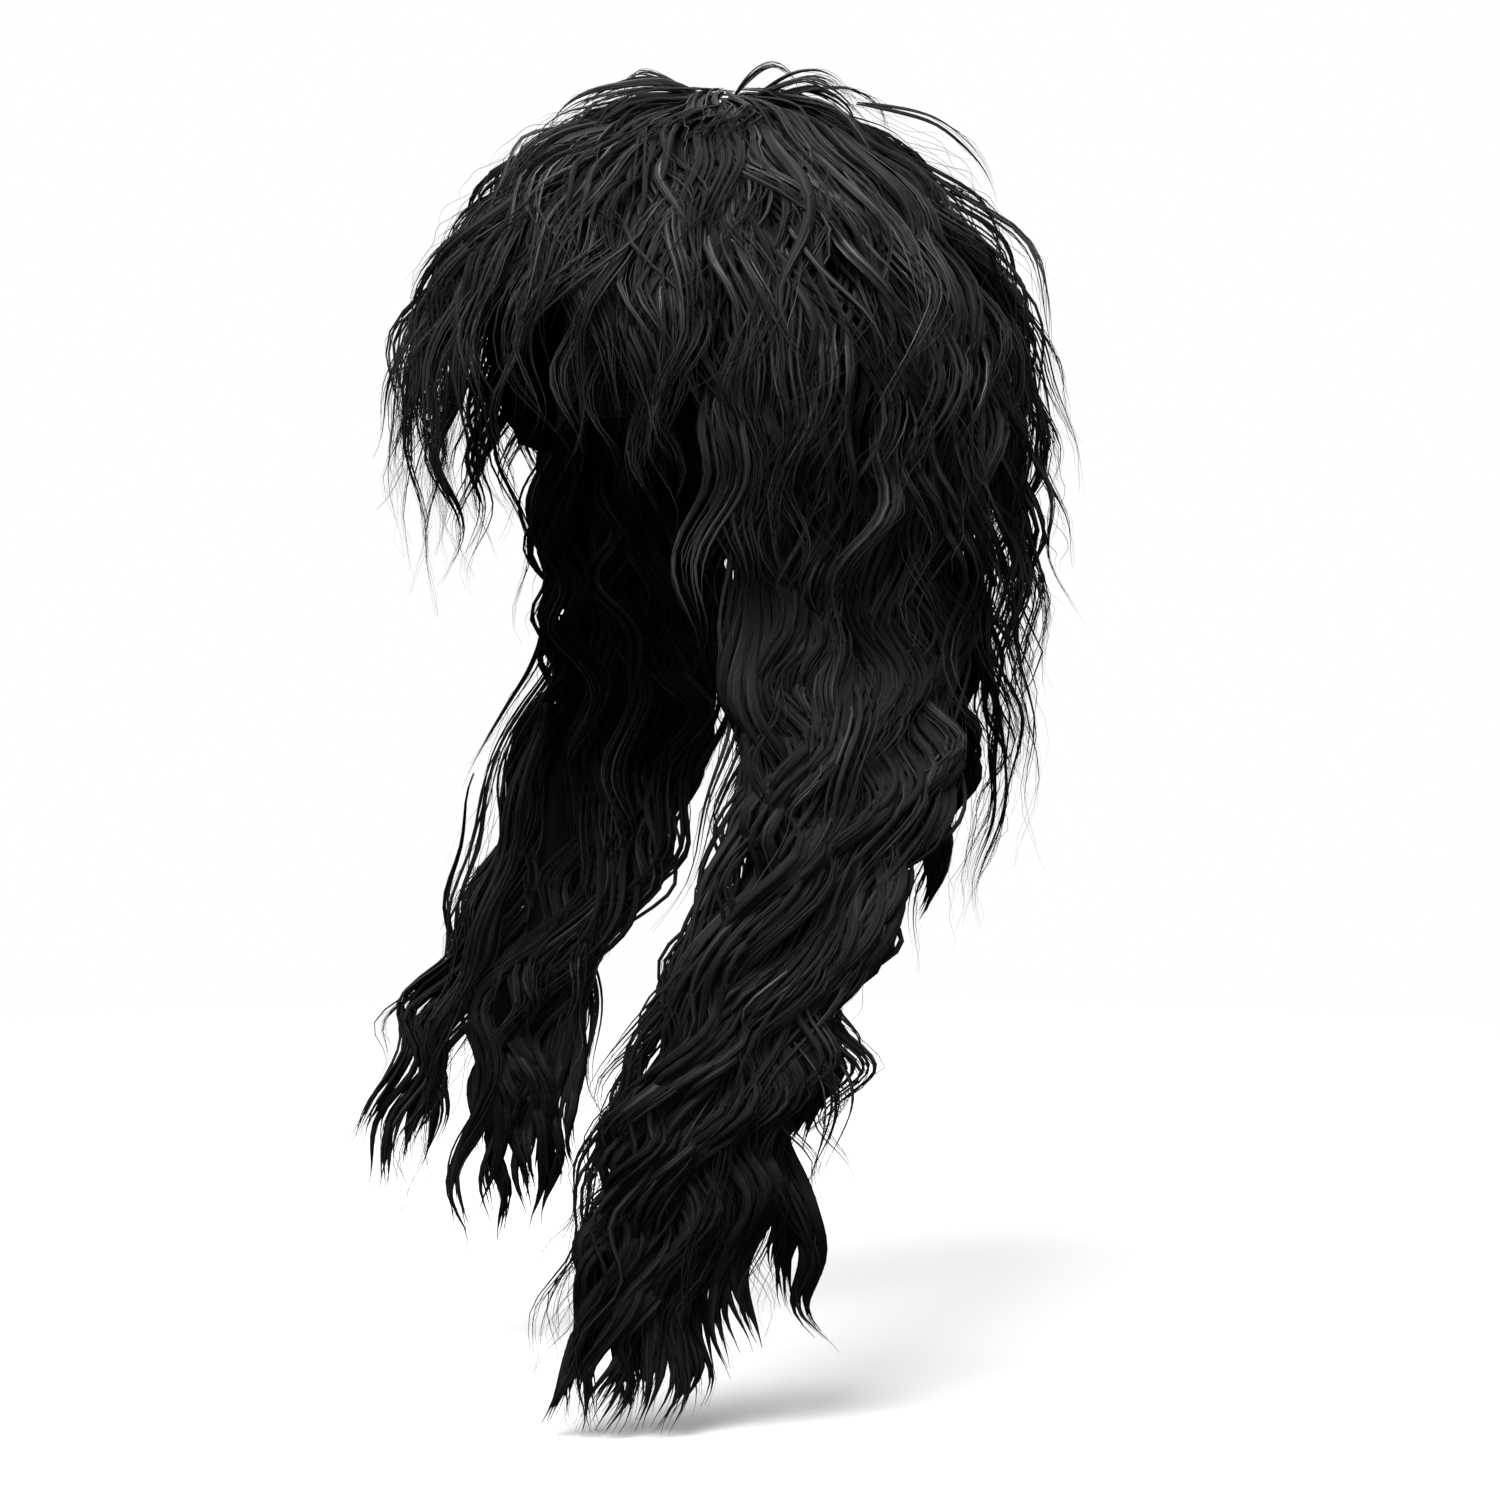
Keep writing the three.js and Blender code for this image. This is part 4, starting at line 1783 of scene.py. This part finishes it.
@dataclass(frozen=True)
class LooseHair:
    """Locks that stand off the rest, placed one by one, and fine single hairs all round the outline."""

    head: HeadForm
    count: int = 200
    rings: int = 20
    fine_rings: int = 14
    seed: int = 53
    cut: LockCut = LockCut(
        tufts=4, strands=6, hair_rings=18, half_width=0.0032, tuft_half=0.0011, frizz=0.0006
    )

    def placed(self) -> ShellLocks:
        """Loops over the top, flicks at both sides and the back, and loose locks over the brow.

        Each row is a lock: angle, start, length, lift at the root, full lift, flick, drift, wave, wave
        length, phase and arch.

        Returns:
            The locks' courses.
        """
        loops = [
            (110, 0.002, 0.032, 0.35, 0.50, 0.0, 12, 0.001, 0.06, 0.0, 0.66),
            (-45, 0.010, 0.060, 0.35, 0.60, 0.0, 20, 0.002, 0.06, 0.0, 0.50),
            (-62, 0.014, 0.045, 0.35, 0.60, 0.0, -15, 0.002, 0.06, 1.0, 0.55),
            (118, 0.012, 0.045, 0.35, 0.60, 0.0, 15, 0.001, 0.06, 0.0, 0.55),
            (136, 0.020, 0.050, 0.35, 0.60, 0.0, 10, 0.002, 0.06, 2.0, 0.45),
            (100, 0.012, 0.060, 0.35, 0.60, 0.0, 20, 0.002, 0.06, 1.0, 0.45),
            (-15, 0.012, 0.070, 0.35, 0.60, 0.0, -25, 0.003, 0.06, 0.5, 0.45),
            (170, 0.016, 0.060, 0.35, 0.60, 0.0, 15, 0.002, 0.06, 0.0, 0.45),
            (215, 0.014, 0.060, 0.35, 0.60, 0.0, -15, 0.002, 0.06, 0.0, 0.45),
            (133, 0.050, 0.060, 0.90, 1.05, 0.1, 4, 0.001, 0.08, 0.0, 0.35),
        ]
        flicks = [
            (126, 0.120, 0.080, 0.60, 0.95, 0.40, 4, 0.003, 0.05, 0.0, 0.0),
            (140, 0.130, 0.090, 0.60, 0.95, 0.45, 6, 0.003, 0.05, 1.0, 0.0),
            (150, 0.150, 0.100, 0.50, 0.90, 0.40, -4, 0.004, 0.05, 2.0, 0.0),
            (131, 0.170, 0.100, 0.50, 0.85, 0.38, 3, 0.004, 0.05, 3.0, 0.0),
            (146, 0.200, 0.100, 0.40, 0.80, 0.34, 3, 0.005, 0.05, 4.0, 0.0),
            (-40, 0.110, 0.095, 0.60, 0.92, 0.38, -3, 0.003, 0.05, 1.0, 0.0),
            (-55, 0.120, 0.100, 0.55, 0.92, 0.40, -4, 0.003, 0.05, 0.0, 0.0),
            (-30, 0.100, 0.100, 0.60, 0.90, 0.30, 3, 0.003, 0.05, 2.0, 0.0),
            (-48, 0.135, 0.090, 0.50, 0.88, 0.36, 2, 0.003, 0.05, 3.0, 0.0),
            (230, 0.130, 0.090, 0.60, 0.95, 0.40, 6, 0.003, 0.05, 1.0, 0.0),
            (190, 0.140, 0.090, 0.60, 0.95, 0.40, -6, 0.003, 0.05, 2.0, 0.0),
            (262, 0.125, 0.090, 0.60, 0.95, 0.40, 4, 0.003, 0.05, 0.0, 0.0),
        ]
        brow = [
            (5, 0.105, 0.128, 0.55, 0.72, 0.0, 1, 0.0045, 0.055, 1.0, 0.0),
            (11, 0.100, 0.095, 0.55, 0.72, 0.1, 3, 0.0040, 0.050, 3.0, 0.0),
            (18, 0.100, 0.112, 0.55, 0.70, 0.0, 4, 0.0050, 0.050, 2.0, 0.0),
            (24, 0.095, 0.130, 0.50, 0.70, 0.0, 6, 0.0050, 0.048, 0.0, 0.0),
            (32, 0.095, 0.140, 0.50, 0.75, 0.0, 5, 0.0045, 0.050, 4.0, 0.0),
            (38, 0.100, 0.135, 0.50, 0.75, 0.0, 3, 0.0045, 0.050, 5.0, 0.0),
        ]
        return ShellLocks(*np.array(loops + flicks + brow, float).T)

    def single(self, rng: Rng) -> ShellLocks:
        """Short courses that leave the outer hair at a slant.

        Args:
            rng: The source of random numbers.

        Returns:
            The hairs' courses.
        """
        uniform = partial(rng.uniform, size=self.count)
        angle = uniform(-180.0, 180.0)
        lowest = 0.06 + 0.15 * ease(np.abs(angle), 45.0, 80.0)
        return ShellLocks(
            angle=angle,
            start=0.03 + lowest * uniform(0.0, 1.0),
            length=uniform(0.03, 0.07),
            root_lift=uniform(0.6, 0.9),
            full_lift=uniform(0.92, 1.1),
            flick=uniform(-0.1, 0.25),
            drift=rng.normal(0.0, 14.0, self.count),
            wave=uniform(0.001, 0.004),
            wave_length=uniform(0.03, 0.06),
            phase=uniform(0.0, TURN),
            arch=np.zeros(self.count),
        )

    def build(self, dresser: HairDresser) -> None:
        """The placed locks, and the fine hairs.

        Args:
            dresser: Makes the pieces.
        """
        rng = np.random.default_rng(self.seed)
        locks = self.cut.fibres(self.placed().locks(self.head, self.rings), rng)
        dresser.dress("loose", locks, self.seed + 1, HairPart.CROWN)
        hairs = FINE_CUT.fibres(self.single(rng).locks(self.head, self.fine_rings), rng)[1]
        dresser.piece("fine_hairs", hairs, HAIR_SECTION, self.seed + 2, HairPart.CROWN)


@dataclass(frozen=True)
class SoftLight:
    """A soft square light: degrees round from the camera and up, how far off, its side and power."""

    name: str
    turn: float
    elevation: float
    away: float
    size: float
    watts: float


@dataclass(frozen=True)
class Stage:
    """The pale floor, the soft lights and the camera."""

    azimuth: float = 45.0
    elevation: float = 5.0
    distance: float = 2.0
    lens: float = 122.6
    aim_side: float = 0.008
    aim_height: float = -0.2455
    floor_half: float = 1.2
    floor_gap: float = 0.001
    sensor: float = 36.0
    seen: float = 1.0
    given: float = 0.06
    lights: tuple[SoftLight, ...] = (
        SoftLight("key", -25.0, 55.0, 2.4, 1.4, 88.0),
        SoftLight("top", 0.0, 88.0, 3.0, 3.0, 60.0),
        SoftLight("fill", 60.0, 25.0, 2.6, 1.8, 18.0),
        SoftLight("back", 190.0, 40.0, 2.4, 1.6, 34.0),
        SoftLight("front", -8.0, 4.0, 2.6, 1.6, 5.5),
    )

    def floor(self) -> None:
        """A level square under the lowest tip."""
        low = CAD_BOX[0].z - self.floor_gap
        half = self.floor_half
        mesh = bpy.data.meshes.new("floor")
        corners = [(-half, -half, low), (half, -half, low), (half, half, low), (-half, half, low)]
        mesh.from_pydata(corners, [], [(0, 1, 2, 3)])
        made = bpy.data.objects.new("floor", mesh)
        made.data.materials.append(FloorFinish(reach=half).material())
        bpy.context.scene.collection.objects.link(made)
        made.visible_diffuse = False
        made.visible_glossy = False

    def stand(self, made: Object, turn: float, elevation: float, away: float) -> None:
        """Stands a light or the camera at a distance from the aim, facing it.

        Args:
            made: What to stand there.
            turn: Degrees round from the camera's azimuth.
            elevation: Degrees up.
            away: How far off.
        """
        a, e = math.radians(self.azimuth + turn), math.radians(elevation)
        back = Vector((math.sin(a) * math.cos(e), -math.cos(a) * math.cos(e), math.sin(e)))
        a = math.radians(self.azimuth)
        aim = Vector((math.cos(a) * self.aim_side, math.sin(a) * self.aim_side, self.aim_height))
        made.location = aim + back * away
        made.rotation_euler = (-back).to_track_quat("-Z", "Y").to_euler()
        bpy.context.scene.collection.objects.link(made)

    def light(self, soft: SoftLight) -> None:
        """Hangs one soft square light that faces the object.

        Args:
            soft: The light.
        """
        data = bpy.data.lights.new(soft.name, "AREA")
        data.size = soft.size
        data.energy = soft.watts
        made = bpy.data.objects.new(soft.name, data)
        made.visible_camera = False
        self.stand(made, soft.turn, soft.elevation, soft.away)

    def world(self) -> None:
        """A white surround that the camera sees brighter than it lights."""
        world = bpy.data.worlds.new("surround")
        world.use_nodes = True
        bpy.context.scene.world = world
        nodes, links = world.node_tree.nodes, world.node_tree.links
        path = nodes.new("ShaderNodeLightPath")
        level = nodes.new("ShaderNodeMapRange")
        level.inputs["To Min"].default_value = self.given
        level.inputs["To Max"].default_value = self.seen
        links.new(path.outputs["Is Camera Ray"], level.inputs["Value"])
        links.new(level.outputs["Result"], nodes["Background"].inputs["Strength"])
        nodes["Background"].inputs["Color"].default_value = (1.0, 1.0, 1.0, 1.0)

    def build(self) -> None:
        """Sets up floor, surround, lights and camera."""
        self.floor()
        self.world()
        for soft in self.lights:
            self.light(soft)
        data = bpy.data.cameras.new("camera")
        data.lens = self.lens
        data.sensor_width = self.sensor
        made = bpy.data.objects.new("camera", data)
        self.stand(made, 0.0, self.elevation, self.distance)
        bpy.context.scene.camera = made
        bpy.context.scene.view_settings.view_transform = "Standard"


def main() -> None:
    """Builds the cap, each part of the hair and the stage, in that order."""
    logging.basicConfig(level=logging.INFO, format="%(name)s: %(message)s")
    head = HeadForm.from_frame()
    dresser = HairDresser(HairFinish().material())
    packed = PackedFinish().material()
    CapNet(head).build()
    crown = CrownHair(head)
    crown.packed(packed)
    crown.build(dresser)
    FringeHair(head).build(dresser)
    MiddleHair(head).build(dresser)
    for fall in FALLS:
        fall.build(dresser, packed)
    LooseHair(head).build(dresser)
    Stage().build()


if __name__ == "__main__":
    main()
